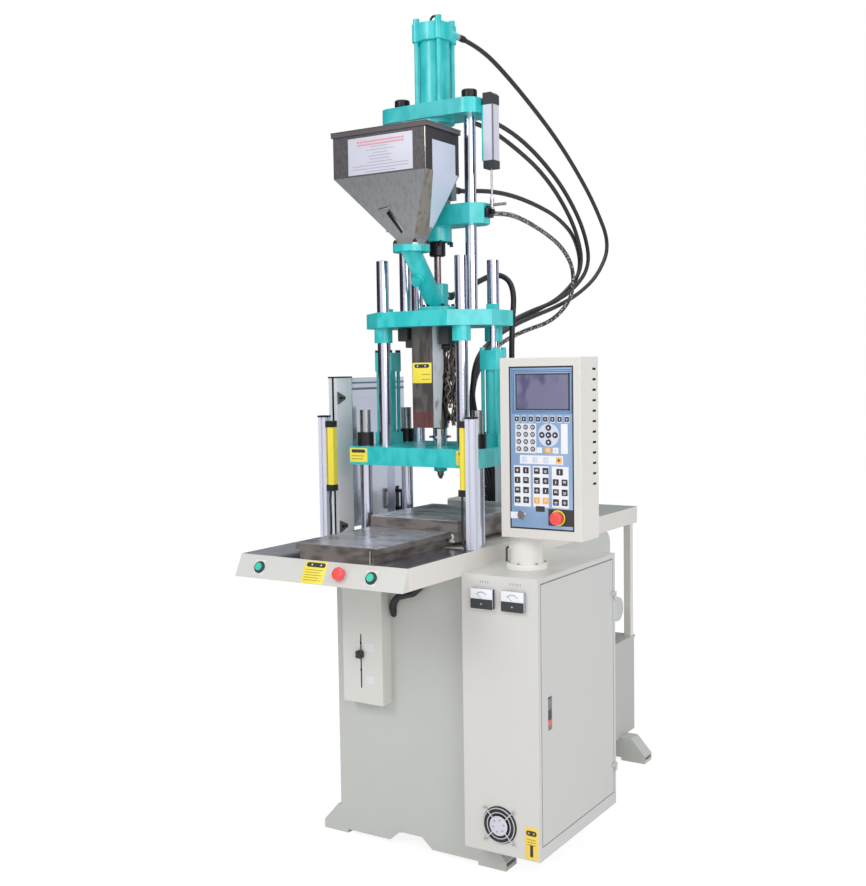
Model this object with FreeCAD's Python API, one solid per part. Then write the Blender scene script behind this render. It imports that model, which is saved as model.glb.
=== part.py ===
"""Vertical injection moulding machine with a sliding mould table, built as its real pieces.

Millimetres. +X to the operator's right, +Y to the back, +Z up. While it is built, the origin is on the
floor under the screw; every piece is moved to the middle of the plan when it is written out.
"""
import FreeCAD
import Part
import math
import os

V = FreeCAD.Vector
UP = V(0, 0, 1)

# ---------------------------------------------------------------- fits and sheet thicknesses
RUNNING = 0.05          # radial clearance of a shaft or rod in its bore
SLIDE_GAP = 0.4         # gap between the sliding table's faces and its rail
DOOR_GAP = 2.0          # gap round a door
SHEET = 3.0             # folded sheet of table, cabinet and covers
PLATE = 4.0             # wall of the machine's body

# ---------------------------------------------------------------- floor beams, body and tank
BEAM_HALF = 355.0       # half the length of a floor beam
BEAM_WIDTH = 70.0
BEAM_TOP = 93.0
BEAM_END_HEIGHT = 29.0  # upright end below the slope
BEAM_SLOPE = 58.0       # length of the sloping end
BEAM_WALL = 5.0
PAD_LENGTH = 100.0
PAD_HEIGHT = 12.0
NOTCH_HALF = 83.0       # tool notch in the underside
NOTCH_TOP_HALF = 43.0
NOTCH_TOP = 46.0

BODY_LEFT, BODY_RIGHT = -283.0, 254.0
BODY_FRONT, BODY_REAR = -218.0, 825.0
BODY_CORNER = 46.0      # rounded top rear corner of the side plates
REAR_BEAM_FRONT = 920.0

TANK_REAR = 1060.0
TANK_TOP = 478.0
TANK_LIP = 12.0         # the lid stands out round the tank
LID_THICK = 8.0
FILLER_RADIUS = 32.0
FILLER_HEIGHT = 46.0

LEG = 28.0              # square tube between tank and table
LEG_REAR = 1056.0
LEG_RIGHT = 252.0

# ---------------------------------------------------------------- table
TABLE_LEFT, TABLE_RIGHT = -368.0, 257.0
TABLE_FRONT, TABLE_REAR = -592.0, 1090.0
TABLE_TOP = 1002.0
TABLE_BOTTOM = 936.0
DECK = 6.0
FASCIA_LEAN = 33.0      # how far the fascia's lower edge stands in front of its upper edge
FASCIA_OUT = V(0, TABLE_BOTTOM - TABLE_TOP, FASCIA_LEAN).normalize()
TABLE_FLANGE = 24.0
WORKTOP_REAR = -218.0   # rear edge of the polished steel sheet
WORKTOP = 1.5
PLATEN_PLATE = 60.0     # thickness of the fixed platen under the deck
FIXED_PLATEN_REAR = 230.0

# ---------------------------------------------------------------- clamp unit
TIE_X, TIE_Y = 219.0, 125.0
TIE_RADIUS = 20.0
TIE_STUB = 16.0         # tie bars are turned down where they pass through platen and yoke
TIE_TOP = 1435.0
TIE_BOTTOM = 388.0
NUT_RADIUS = 28.0
NUT_HEIGHT = 46.0
PLATEN_X, PLATEN_Y = 250.0, 180.0
PLATEN_BOTTOM, PLATEN_TOP = 1254.0, 1314.0
CLAMP_STROKE = 100.0
YOKE_X, YOKE_Y = 245.0, 165.0
YOKE_BOTTOM, YOKE_TOP = 434.0, 490.0
CLAMP_CYL_RADIUS = 92.0
CLAMP_BORE = 76.0
CLAMP_CYL_BOTTOM = 630.0
CLAMP_FLANGE_RADIUS = 118.0
CLAMP_ROD = 38.0
CLAMP_PISTON = 40.0     # thickness of the clamp piston
RING_RADIUS = 22.0      # ring round the nozzle, under the middle platen
RING_DROP = 28.0

# ---------------------------------------------------------------- carriage of the injection unit
GUIDE_X, GUIDE_Y = 152.0, 105.0
GUIDE_RADIUS = 20.0
GUIDE_TOP = 1930.0
UPPER_X, UPPER_Y = 245.0, 165.0
UPPER_CORNER_X, UPPER_CORNER_Y = 135.0, 70.0
UPPER_BOTTOM, UPPER_TOP = 1707.0, 1757.0
BUSH_RADIUS = 30.0
BUSH_BOTTOM = 1658.0
CARRIAGE_STROKE = 120.0

LIFT_X = 208.0          # lifting cylinders of the carriage
LIFT_HEAD = 68.0
LIFT_HEAD_BOTTOM, LIFT_HEAD_TOP = 1563.0, 1627.0
LIFT_FOOT = 40.0
LIFT_TUBE_RADIUS = 25.0
LIFT_BORE = 20.0
LIFT_STAY_RADIUS = 6.0
LIFT_STAY_PITCH = 25.0
LIFT_ROD = 10.0
LIFT_EAR = 30.0         # square rod end on top of the upper plate
LIFT_EAR_HEIGHT = 20.0

BARREL_RADIUS = 24.0
BARREL_BOTTOM = 1262.0
NOZZLE_TIP = 1199.0
NOZZLE_BODY = 15.0      # radius of the nozzle's shank in the platen
SCREW_RADIUS = 14.0
SCREW_TIP = 1400.0
FLIGHT_PITCH = 28.0
BORE_BOTTOM = 1292.0
DISC_RADIUS = 37.0      # heat shield disc low on the barrel
DISC_Z, DISC_THICK = 1338.0, 6.0
BAND_RADIUS = 29.0
BAND_LENGTH = 58.0
BAND_FIRST, BAND_STEP, BAND_COUNT = 1372.0, 84.0, 4

COVER_HALF = 40.0
COVER_FRONT = -104.0
COVER_BOTTOM, COVER_TOP = 1376.0, 1707.0
COVER_LEFT_BACK = -10.0
COVER_FLAP_TOP, COVER_FLAP_BOTTOM = -20.0, -60.0
COVER_SHEET = 1.5

BOSS_RADIUS, BOSS_HEIGHT = 63.5, 19.0
THROAT_RADIUS, THROAT_TOP = 34.0, 1852.0
PIPE_RADIUS = 31.0
PIPE_TOP_Y, PIPE_TOP_Z = -157.0, 1945.0
PIPE_FOOT_Y, PIPE_FOOT_Z = -6.0, 1776.0
FEED_FLANGE_RADIUS, FEED_FLANGE = 60.0, 20.0
PLUG_RADIUS, PLUG_LENGTH = 15.0, 16.0
THROAT_PORT_Z, THROAT_PORT_REAR = 1815.0, 50.0

HOPPER_LEFT, HOPPER_RIGHT = -228.0, 125.0
HOPPER_FRONT, HOPPER_BACK = -262.0, -62.0
HOPPER_LOW, HOPPER_TOP = 2186.0, 2330.0
HOPPER_SHEET = 2.0
HOPPER_RIM = 5.0        # folded rim round the top
HOPPER_RIM_DEPTH = 14.0
NECK_HALF = 36.0
NECK_BOTTOM = 1985.0
NECK_PLATE_HALF = 48.0
NECK_PLATE = 6.0
LID = 2.0
LID_RIM = 12.0
LID_PIN, LID_KNUCKLE = 2.5, 5.0   # radii of the lid's hinge pin and of its knuckles
LID_AXIS_Y, LID_AXIS_Z = HOPPER_BACK + HOPPER_RIM + 5.5, HOPPER_TOP + 0.5
LID_HINGE_XS = (-150.0, 47.0)    # middle of each hinge
LID_HINGE = 30.0                 # length of one knuckle

TALL_X, TALL_RADIUS = 131.0, 19.0
TOP_X, TOP_Y = 187.0, 70.0
TOP_BOTTOM, TOP_TOP = 2387.0, 2435.0
ROD_NUT_RADIUS, ROD_NUT_TOP = 25.5, 2472.0
TOP_TUBE_RADIUS, TOP_TUBE_BORE = 50.0, 41.0
TOP_TUBE_TOP = 2640.0
TOP_HEAD_RADIUS, TOP_HEAD_TOP = 69.0, 2697.0
TOP_STAY_RADIUS, TOP_STAY_PCD = 8.0, 120.0
TOP_CAP_HEIGHT = 18.0
TOP_LOBE = 14.5
EYE_TUBE, EYE_RADIUS = 4.0, 13.0
HOSE_UNION = 11.0       # radius of a hose's union
TOP_PORT_X, TOP_PORT_REAR = 52.0, 66.0

CROSSHEAD_X, CROSSHEAD_Y = 192.0, 54.0
CROSSHEAD_BOTTOM, CROSSHEAD_TOP = 2037.0, 2103.0
ADAPTER_RADIUS, ADAPTER_BOTTOM = 48.5, 1990.0
SCREW_STROKE = 75.0
COUPLING_RADIUS = 27.0
COUPLING_BOTTOM, COUPLING_TOP = 1943.0, 1988.0
SPIGOT_RADIUS, SPIGOT_TOP = 15.0, 2030.0
SHANK_RADIUS = 11.5
MOTOR_RADIUS, MOTOR_TOP = 46.0, 2262.0
MOTOR_NECK = 2280.0
PORT_LEFT, PORT_RIGHT, PORT_FACE = -8.0, 46.0, 52.0
PISTON_ROD_RADIUS = 16.5
PISTON_BOTTOM, PISTON_TOP = 2522.0, 2550.0

SENSOR_LEFT, SENSOR_RIGHT = 193.0, 229.0
SENSOR_Y = 20.0         # half depth of the position sensor
SENSOR_BOTTOM, SENSOR_TOP = 2235.0, 2412.0
SENSOR_CAP_LOW, SENSOR_CAP_HIGH = 25.0, 38.0
SENSOR_ROD_X, SENSOR_ROD_RADIUS = 211.0, 3.5
SENSOR_ROD_BOTTOM = 2082.0
SENSOR_REST = 2095.0    # cross rod on the crosshead that carries the sensor's rod

# ---------------------------------------------------------------- sliding table
RAIL_LOW_HALF, RAIL_HALF = 135.0, 151.0
RAIL_STEP, RAIL_TOP = 1032.0, 1052.0
RAIL_REAR = 300.0
RAIL_HOLE_Y, RAIL_HOLE_RADIUS = -395.0, 14.0
BLOCK_LEFT, BLOCK_RIGHT = -161.0, 178.0
BLOCK_FRONT, BLOCK_REAR = -185.0, 200.0
BLOCK_TOP = 1086.0
KEEPER_BOTTOM = 1018.0
MOULD_BOLT = 5.1        # tapping radius of the mould bolts (M12)
MOULD_BOLT_DEPTH = 25.0
MOULD_PITCH_X, MOULD_PITCH_Y = 240.0, 200.0

# ---------------------------------------------------------------- slot box with clamp knob
SLOT_BOX_LEFT, SLOT_BOX_RIGHT = -222.0, -65.0
SLOT_BOX_DEPTH = 52.0
SLOT_BOX_BOTTOM = 477.0
SLOT_X, SLOT_LOW, SLOT_HIGH, SLOT_WIDTH = -150.0, 526.0, 706.0, 6.0
KNOB_Z = 640.0
KNOB_LOBE, KNOB_PCD, KNOB_THICK = 7.5, 15.0, 14.0

# ---------------------------------------------------------------- light curtain and left guard
POST = 30.0
POST_Y_LEFT, POST_Y_RIGHT = -180.0, -200.0
POST_LEFT_X, POST_RIGHT_X = -351.0, 240.0
POST_TOP = 1411.0
POST_CAP = 6.0
UNIT_DEPTH, UNIT_WIDTH = 30.0, 27.0
UNIT_LEFT_LOW, UNIT_LEFT_HIGH = 1162.0, 1399.0
UNIT_RIGHT_RISE = 6.0
UNIT_END = 21.0         # black end piece

GUARD_LEFT = -372.0
GUARD_THICK = 32.0
GUARD_POST_FRONT, GUARD_POST_REAR = -124.0, -34.0
GUARD_REAR = 293.0
GUARD_BEAM, GUARD_STILE = 68.0, 70.0
GUARD_LOW, GUARD_HIGH = 1020.0, 1543.0
GUARD_HANDLE_Y, GUARD_HANDLE_LOW, GUARD_HANDLE_HIGH = 238.0, 1052.0, 1128.0
GUARD_HANDLE_OUT = 28.0
HINGE_Z = (GUARD_LOW + 26, GUARD_HIGH - 84)
GUARD_PIN_X, GUARD_PIN_Y = GUARD_LEFT - 4.0, GUARD_POST_REAR + 4.0
GUARD_PIN, GUARD_BARREL = 4.0, 8.0
GUARD_LEAF = 28.0       # half height of one hinge barrel

# ---------------------------------------------------------------- electric cabinet
CAB_LEFT, CAB_RIGHT = 257.0, 517.0
CAB_FRONT, CAB_REAR = -300.0, 264.0
CAB_TOP = 946.0
BATTEN_ZS, BATTEN_HEIGHT = (230.0, 800.0), 40.0
CAB_FRAME = 16.0        # edge left round the door
CAB_PLINTH = 40.0
DOOR_THICK = 18.0
HINGE_RADIUS, HINGE_OUT = 5.0, 5.5
HINGE_LENGTH = 27.0
HINGE_LOW, HINGE_HIGH = 210.0, 792.0
LATCH_Y, LATCH_LOW, LATCH_HIGH = -226.0, 480.0, 578.0
LATCH_WIDTH = 24.0
METER_WIDTH, METER_HEIGHT, METER_DEPTH = 75.0, 61.0, 14.0
METER_XS, METER_Z = (334.0, 439.5), 875.0
FAN_X, FAN_Z, FAN_RADIUS = 381.0, 183.0, 59.0
FAN_HOLE = 50.0
FAN_RINGS = (14.0, 27.0, 40.0, 53.0)
FAN_HUB, FAN_BLADES = 17.0, 7

# ---------------------------------------------------------------- pendant
COLUMN_X, COLUMN_Y = 388.0, -120.0
COLUMN_RADIUS, COLUMN_BORE = 50.0, 39.0
COLUMN_FLANGE, COLUMN_FLANGE_HEIGHT = 64.0, 16.0
COLUMN_TOP = 1048.0
PENDANT_LEFT, PENDANT_RIGHT = 345.0, 615.0
PENDANT_FRONT, PENDANT_BACK = -205.0, -80.0
PENDANT_BOTTOM, PENDANT_TOP = 1050.0, 1598.0
PENDANT_STUB = 1000.0   # lower end of the stub that turns in the column
PANEL_LEFT, PANEL_RIGHT = 376.0, 592.0
PANEL_LOW, PANEL_HIGH = 1079.0, 1572.0
PANEL_SINK = 2.0
SCREEN_LEFT, SCREEN_RIGHT = 404.0, 575.0
SCREEN_LOW, SCREEN_HIGH = 1444.0, 1546.0
SCREEN_SINK = 4.0
VENT_COUNT, VENT_LENGTH, VENT_HEIGHT = 12, 16.0, 5.0
VENT_Y, VENT_HIGH, VENT_STEP = -109.0, 1564.0, 31.4
ESTOP_RADIUS, ESTOP_NECK = 20.0, 12.0
PENDANT_ESTOP_X, PENDANT_ESTOP_Z = 538.0, 1118.0
KEY_X, KEY_Z, KEY_RADIUS = 416.0, 1121.0, 10.0
LEVER_Z = 1005.0
LEVER_RADIUS = 3.5

# ---------------------------------------------------------------- buttons on the fascia
FASCIA_Z = 968.0
BUTTON_LEFT_X, BUTTON_RIGHT_X, TABLE_ESTOP_X = -280.0, 140.0, 30.0
BUTTON_RADIUS, BUTTON_STEM = 12.0, 9.0
BEZEL_RADIUS, BEZEL_HEIGHT = 16.0, 5.0
BUTTON_TRAVEL, ESTOP_TRAVEL = 3.0, 5.0
ESTOP_HEIGHT, ESTOP_EDGE = 20.0, 9.0    # top of the mushroom head above its stop, radius of its edge
STOP_TAIL = 8.0         # length of the stop's neck behind the panel

# ---------------------------------------------------------------- oil supply
MOTOR_FRAME_RADIUS, MOTOR_LENGTH = 105.0, 290.0
PUMP_MOTOR_Y, PUMP_MOTOR_LEFT = 945.0, -168.0
PUMP_RADIUS, PUMP_LENGTH = 48.0, 74.0
VALVE_LEFT, VALVE_RIGHT, VALVE_REAR = -160.0, 140.0, 425.0
VALVE_TOP = 1095.0
WELL_LEFT, WELL_RIGHT, WELL_FRONT, WELL_REAR = -64.0, 132.0, 303.0, 416.0   # passage of the hoses
DUCT_LEFT, DUCT_RIGHT, DUCT_DEPTH, DUCT_TOP = 62.0, 98.0, 36.0, 1285.0

# ---------------------------------------------------------------- hoses: routes with the machine at rest
HOSE_RADIUS, THROAT_HOSE_RADIUS = 8.0, 9.5
HOSES = {
    "cylinder_top_hose": (HOSE_RADIUS, [
        (52, 66, 2668.5), (52, 130, 2668.5), (53, 260, 2653), (52, 410, 2608), (49, 610, 2536),
        (47, 810, 2452), (44, 1000, 2352), (43, 1170, 2240), (39, 1335, 2090), (36, 1215, 1955),
        (35, 1030, 1868), (33, 830, 1808), (31, 650, 1768), (30, 480, 1728), (30, 310, 1672),
        (30, 190, 1605), (30, 160, 1480), (30, 215, 1350), (30, 300, 1250), (30, 325, 1130),
        (30, 325, 965)]),
    "cylinder_foot_hose": (HOSE_RADIUS, [
        (84, 70, 2413), (84, 130, 2413), (82, 265, 2419), (76, 460, 2394), (68, 667, 2336),
        (59, 870, 2250), (46, 1060, 2125), (34, 1143, 1985), (20, 985, 1872), (16, 790, 1815),
        (12, 600, 1775), (10, 430, 1715), (10, 290, 1635), (10, 205, 1530), (10, 203, 1390),
        (10, 245, 1290), (10, 318, 1215), (10, 345, 1110), (10, 345, 965)]),
    "cylinder_drain_hose": (HOSE_RADIUS, [
        (58, 70, 2402), (58, 130, 2402), (62, 265, 2397), (61, 450, 2360), (52, 655, 2312),
        (43, 850, 2228), (26, 1036, 2112), (13, 1118, 1976), (-2, 962, 1862), (-6, 770, 1800),
        (-8, 580, 1752), (-10, 420, 1690), (-10, 300, 1610), (-10, 232, 1510), (-10, 228, 1380),
        (-10, 270, 1280), (-10, 340, 1200), (-10, 365, 1100), (-10, 365, 965)]),
    "motor_inlet_hose": (HOSE_RADIUS, [
        (34, 52, 2167), (34, 110, 2167), (46, 240, 2186), (48, 420, 2194), (38, 640, 2184),
        (24, 860, 2160), (2, 1072, 2099), (-14, 1160, 1966), (-24, 1000, 1850), (-28, 810, 1805),
        (-30, 620, 1765), (-31, 450, 1700), (-30, 330, 1620), (-30, 262, 1515), (-30, 260, 1385),
        (-30, 295, 1280), (-30, 360, 1200), (-30, 385, 1100), (-30, 385, 965)]),
    "motor_outlet_hose": (HOSE_RADIUS, [
        (148, 54, 2084), (148, 110, 2084), (145, 240, 2097), (130, 400, 2088), (112, 590, 2062),
        (94, 750, 2030), (82, 878, 1962), (70, 895, 1845), (26, 806, 1750), (-36, 680, 1712),
        (-50, 530, 1668), (-50, 390, 1606), (-50, 310, 1515), (-50, 302, 1400), (-50, 325, 1290),
        (-50, 380, 1195), (-50, 400, 1095), (-50, 400, 965)]),
    "throat_hose": (THROAT_HOSE_RADIUS, [
        (0, 50, 1815), (0, 90, 1815), (40, 165, 1858), (105, 222, 1900), (178, 212, 1850),
        (188, 165, 1690), (165, 206, 1500), (128, 262, 1330), (118, 335, 1220), (118, 352, 1110),
        (118, 352, 965)]),
}


def box(x0, x1, y0, y1, z0, z1):
    """Rectangular block between two corners."""
    return Part.makeBox(x1 - x0, y1 - y0, z1 - z0, V(x0, y0, z0))


def bar(radius, x, y, z0, z1):
    """Upright round bar."""
    return Part.makeCylinder(radius, z1 - z0, V(x, y, z0))


def prism(outline, plane, start, end):
    """Solid between two parallel copies of a closed outline.

    plane "x" takes (y, z) points, "y" takes (x, z) points and "z" takes (x, y) points.
    """
    place = {"x": lambda a, b: V(start, a, b), "y": lambda a, b: V(a, start, b),
             "z": lambda a, b: V(a, b, start)}[plane]
    along = {"x": V(1, 0, 0), "y": V(0, 1, 0), "z": UP}[plane] * (end - start)
    points = [place(a, b) for a, b in outline]
    return Part.Face(Part.makePolygon(points + points[:1])).extrude(along)


def rounded(solid, radius, test):
    """Fillet the solid's edges that pass the test."""
    return solid.makeFillet(radius, [e for e in solid.Edges if test(e)])


def bevelled(solid, size, test):
    """Chamfer the solid's edges that pass the test."""
    return solid.makeChamfer(size, [e for e in solid.Edges if test(e)])


def upright(edge):
    """True for a straight edge along Z."""
    box_ = edge.BoundBox
    return edge.Curve.TypeId == "Part::GeomLine" and box_.ZLength > 1 and box_.XLength + box_.YLength < 1e-6


def ring_edge_at(z, radius):
    """Test for a circular edge of one radius at one height."""
    def test(edge):
        return (edge.Curve.TypeId == "Part::GeomCircle" and abs(edge.Curve.Radius - radius) < 1e-6
                and abs(edge.BoundBox.ZMin - z) < 1e-3 and edge.BoundBox.ZLength < 1e-3)
    return test


def four(x, y):
    """The four places of a pattern that is symmetric about both axes."""
    return [(sx * x, sy * y) for sx in (-1, 1) for sy in (-1, 1)]


def fuse(shapes):
    """One solid out of touching shapes."""
    first = shapes[0]
    return first.fuse(shapes[1:]).removeSplitter() if len(shapes) > 1 else first


def frustum(lower, upper):
    """Loft between two level rectangles, each given as (x0, x1, y0, y1, z)."""
    wires = []
    for x0, x1, y0, y1, z in (lower, upper):
        corners = [V(x0, y0, z), V(x1, y0, z), V(x1, y1, z), V(x0, y1, z)]
        wires.append(Part.makePolygon(corners + corners[:1]))
    return Part.makeLoft(wires, True, True)


# ================================================================ fixed pieces
def floor_beam(front):
    """Folded channel with sloping ends, a pad under each end and a notch in the middle."""
    top_half = BEAM_HALF - BEAM_SLOPE
    pad_start = BEAM_HALF - PAD_LENGTH
    right = [(NOTCH_TOP_HALF, NOTCH_TOP), (NOTCH_HALF, PAD_HEIGHT), (pad_start, PAD_HEIGHT), (pad_start, 0),
             (BEAM_HALF, 0), (BEAM_HALF, BEAM_END_HEIGHT), (top_half, BEAM_TOP)]
    outline = right + [(-x, z) for x, z in reversed(right)]
    beam = prism(outline, "y", front, front + BEAM_WIDTH)
    past = BEAM_HALF + 1
    end_top = BEAM_END_HEIGHT - BEAM_WALL
    inner_right = [(pad_start, 0), (pad_start, PAD_HEIGHT), (past, PAD_HEIGHT), (past, end_top),
                   (BEAM_HALF, end_top), (top_half, BEAM_TOP - BEAM_WALL)]
    inner = [(-x, z) for x, z in inner_right] + inner_right[::-1]
    return beam.cut(prism(inner, "y", front + BEAM_WALL, front + BEAM_WIDTH - BEAM_WALL))


def floor_beams():
    return [floor_beam(BODY_FRONT), floor_beam(REAR_BEAM_FRONT)]


def body_frame():
    """Four-sided body of welded plate: the clamp works inside it."""
    side = prism([(BODY_FRONT, BEAM_TOP), (BODY_REAR, BEAM_TOP), (BODY_REAR, TABLE_BOTTOM),
                  (BODY_FRONT, TABLE_BOTTOM)], "x", BODY_LEFT, BODY_RIGHT)
    corner = lambda e: (e.BoundBox.XLength > 100 and abs(e.BoundBox.YMin - BODY_REAR) < 1e-3
                        and abs(e.BoundBox.ZMin - TABLE_BOTTOM) < 1e-3)
    side = rounded(side, BODY_CORNER, corner)
    hollow = box(BODY_LEFT + PLATE, BODY_RIGHT - PLATE, BODY_FRONT + PLATE, BODY_REAR - PLATE,
                 BEAM_TOP - 1, TABLE_BOTTOM + 1)
    return [side.cut(hollow)]


def oil_tank():
    """Tank under the back of the table, with its lid and a filler and breather cap."""
    mid = (BODY_LEFT + BODY_RIGHT) / 2
    lid_low = TANK_TOP - LID_THICK
    tank = box(BODY_LEFT, BODY_RIGHT, BODY_REAR, TANK_REAR, BEAM_TOP, lid_low)
    lid = box(BODY_LEFT, BODY_RIGHT, BODY_REAR, TANK_REAR + TANK_LIP, lid_low, TANK_TOP)
    neck_x, neck_y = BODY_LEFT + FILLER_RADIUS + 28, (BODY_REAR + TANK_REAR) / 2
    neck = bar(FILLER_RADIUS * 0.7, neck_x, neck_y, TANK_TOP, TANK_TOP + FILLER_HEIGHT / 2)
    cap = bar(FILLER_RADIUS, neck_x, neck_y, TANK_TOP + FILLER_HEIGHT / 2, TANK_TOP + FILLER_HEIGHT)
    gauge = box(mid - 20, mid + 20, TANK_REAR, TANK_REAR + TANK_LIP, lid_low - 160, lid_low - 40)
    return [fuse([tank, lid, neck, cap, gauge])]


def table_frame():
    """Folded steel table with a leaning fascia, a return flange below and its two rear legs."""
    def section(wall, low):
        lean = FASCIA_LEAN / (TABLE_TOP - TABLE_BOTTOM)
        top = TABLE_TOP - (DECK if wall else 0)
        front = lambda z: TABLE_FRONT - (TABLE_TOP - z) * lean + wall * math.hypot(1, lean)
        return [(front(top), top), (front(low), low), (TABLE_REAR - wall, low), (TABLE_REAR - wall, top)]
    table = prism(section(0, TABLE_BOTTOM), "x", TABLE_LEFT, TABLE_RIGHT)
    inside = prism(section(SHEET, TABLE_BOTTOM + SHEET), "x", TABLE_LEFT + SHEET, TABLE_RIGHT - SHEET)
    mouth = box(TABLE_LEFT + TABLE_FLANGE, TABLE_RIGHT - TABLE_FLANGE, TABLE_FRONT - FASCIA_LEAN + TABLE_FLANGE,
                TABLE_REAR - TABLE_FLANGE, TABLE_BOTTOM - 1, TABLE_BOTTOM + SHEET + 1)
    platen_room = box(BODY_LEFT, BODY_RIGHT, BODY_FRONT, FIXED_PLATEN_REAR, TABLE_BOTTOM - 1, TABLE_TOP - DECK)
    well = box(WELL_LEFT, WELL_RIGHT, WELL_FRONT, WELL_REAR, TABLE_BOTTOM - 1, TABLE_TOP + 1)
    table = table.cut([inside, mouth, platen_room, well])
    for x, y in four(TIE_X, TIE_Y):
        table = table.cut(bar(TIE_RADIUS + 3, x, y, TABLE_BOTTOM, TABLE_TOP + 1))
    holes = [fascia_place(x).multVec(V(0, 0, 0)) for x in (BUTTON_LEFT_X, BUTTON_RIGHT_X, TABLE_ESTOP_X)]
    for at in holes:
        table = table.cut(Part.makeCylinder(BUTTON_STEM + 1, 30, at - FASCIA_OUT * 15, FASCIA_OUT))
    bezels = []
    for at in holes[:2]:
        bezel = Part.makeCylinder(BEZEL_RADIUS, BEZEL_HEIGHT, at, FASCIA_OUT)
        bezels.append(bezel.cut(Part.makeCylinder(BUTTON_RADIUS + 0.5, BEZEL_HEIGHT, at, FASCIA_OUT)))
    legs = []
    for right in (LEG_RIGHT, BODY_LEFT + LEG + 2):
        tube = box(right - LEG, right, LEG_REAR - LEG, LEG_REAR, TANK_TOP, TABLE_BOTTOM)
        plate = box(right - LEG, right, LEG_REAR - LEG, TABLE_REAR - SHEET, TABLE_BOTTOM, TABLE_BOTTOM + SHEET)
        legs += [tube, plate]
    return [fuse([table] + bezels + legs)]


def fascia_place(x):
    """Placement on the fascia's face, its Z pointing out of the face."""
    y = TABLE_FRONT - FASCIA_LEAN * (TABLE_TOP - FASCIA_Z) / (TABLE_TOP - TABLE_BOTTOM)
    return FreeCAD.Placement(V(x, y, FASCIA_Z), FreeCAD.Rotation(UP, FASCIA_OUT))


def worktop_sheet():
    """Polished sheet over the front part of the table, cut out round the rail."""
    sheet = box(TABLE_LEFT + SHEET, TABLE_RIGHT - SHEET, TABLE_FRONT + SHEET, WORKTOP_REAR,
                TABLE_TOP, TABLE_TOP + WORKTOP)
    rail = box(-RAIL_LOW_HALF, RAIL_LOW_HALF, TABLE_FRONT, RAIL_REAR, TABLE_TOP, TABLE_TOP + WORKTOP)
    return [sheet.cut(rail)]


def fixed_platen():
    """Thick lower plate: bolted to the body, it guides the tie bars and carries the clamp cylinder."""
    plate = box(BODY_LEFT, BODY_RIGHT, BODY_FRONT, FIXED_PLATEN_REAR, TABLE_BOTTOM, TABLE_BOTTOM + PLATEN_PLATE)
    for x, y in four(TIE_X, TIE_Y):
        plate = plate.cut(bar(TIE_RADIUS + RUNNING, x, y, TABLE_BOTTOM - 1, TABLE_TOP))
    return [plate]


def clamp_cylinder():
    """Clamp cylinder hanging under the fixed platen, open inside for the piston."""
    body = bar(CLAMP_CYL_RADIUS, 0, 0, CLAMP_CYL_BOTTOM, TABLE_BOTTOM)
    flange = bar(CLAMP_FLANGE_RADIUS, 0, 0, TABLE_BOTTOM - 28, TABLE_BOTTOM)
    gland = bar(CLAMP_ROD + 22, 0, 0, CLAMP_CYL_BOTTOM - 24, CLAMP_CYL_BOTTOM)
    hollow = bar(CLAMP_BORE, 0, 0, CLAMP_CYL_BOTTOM + 34, TABLE_BOTTOM - 30)
    passage = bar(CLAMP_ROD + RUNNING, 0, 0, CLAMP_CYL_BOTTOM - 25, CLAMP_CYL_BOTTOM + 35)
    return [fuse([body, flange, gland]).cut([hollow, passage])]


def slide_rail():
    """T-shaped rail plate that the mould table slides on, with a hole near its front end."""
    outline = [(-RAIL_LOW_HALF, TABLE_TOP), (RAIL_LOW_HALF, TABLE_TOP), (RAIL_LOW_HALF, RAIL_STEP),
               (RAIL_HALF, RAIL_STEP), (RAIL_HALF, RAIL_TOP), (-RAIL_HALF, RAIL_TOP),
               (-RAIL_HALF, RAIL_STEP), (-RAIL_LOW_HALF, RAIL_STEP)]
    rail = prism(outline, "y", TABLE_FRONT, RAIL_REAR)
    rail = rail.cut(bar(RAIL_HOLE_RADIUS, 0, RAIL_HOLE_Y, RAIL_STEP, RAIL_TOP + 1))
    return [rail]


def slot_box():
    """Box on the body's front with an upright slot for the clamp knob."""
    front = BODY_FRONT - SLOT_BOX_DEPTH
    shell = box(SLOT_BOX_LEFT, SLOT_BOX_RIGHT, front, BODY_FRONT, SLOT_BOX_BOTTOM, TABLE_BOTTOM)
    hollow = box(SLOT_BOX_LEFT + SHEET, SLOT_BOX_RIGHT - SHEET, front + SHEET, BODY_FRONT - SHEET,
                 SLOT_BOX_BOTTOM + SHEET, TABLE_BOTTOM - SHEET)
    slot = box(SLOT_X - SLOT_WIDTH / 2, SLOT_X + SLOT_WIDTH / 2, front - 1, front + SHEET + 1, SLOT_LOW, SLOT_HIGH)
    slot = slot.makeFillet(SLOT_WIDTH / 2 - 0.01, [e for e in slot.Edges if e.BoundBox.YLength > SHEET
                                                   and e.BoundBox.XLength < 1e-6 and e.BoundBox.ZLength < 1e-6])
    return [shell.cut([hollow, slot])]


def extrusion_post(x, y, top):
    """Grooved aluminium profile post with a plate cap."""
    half, groove, lip = POST / 2, 4.0, 6.0
    post = box(x - half, x + half, y - half, y + half, TABLE_TOP, top)
    grooves = []
    for sx, sy in ((1, 0), (-1, 0), (0, 1), (0, -1)):
        cx, cy = x + sx * half, y + sy * half
        dx, dy = (lip, groove) if sx else (groove, lip)
        grooves.append(box(cx - dx, cx + dx, cy - dy, cy + dy, TABLE_TOP - 1, top + 1))
    cap = box(x - half - 1, x + half + 1, y - half - 1, y + half + 1, top, top + POST_CAP)
    return post.cut(grooves).fuse(cap).removeSplitter()


def curtain_posts():
    return [extrusion_post(POST_LEFT_X, POST_Y_LEFT, POST_TOP), extrusion_post(POST_RIGHT_X, POST_Y_RIGHT, POST_TOP)]


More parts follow.
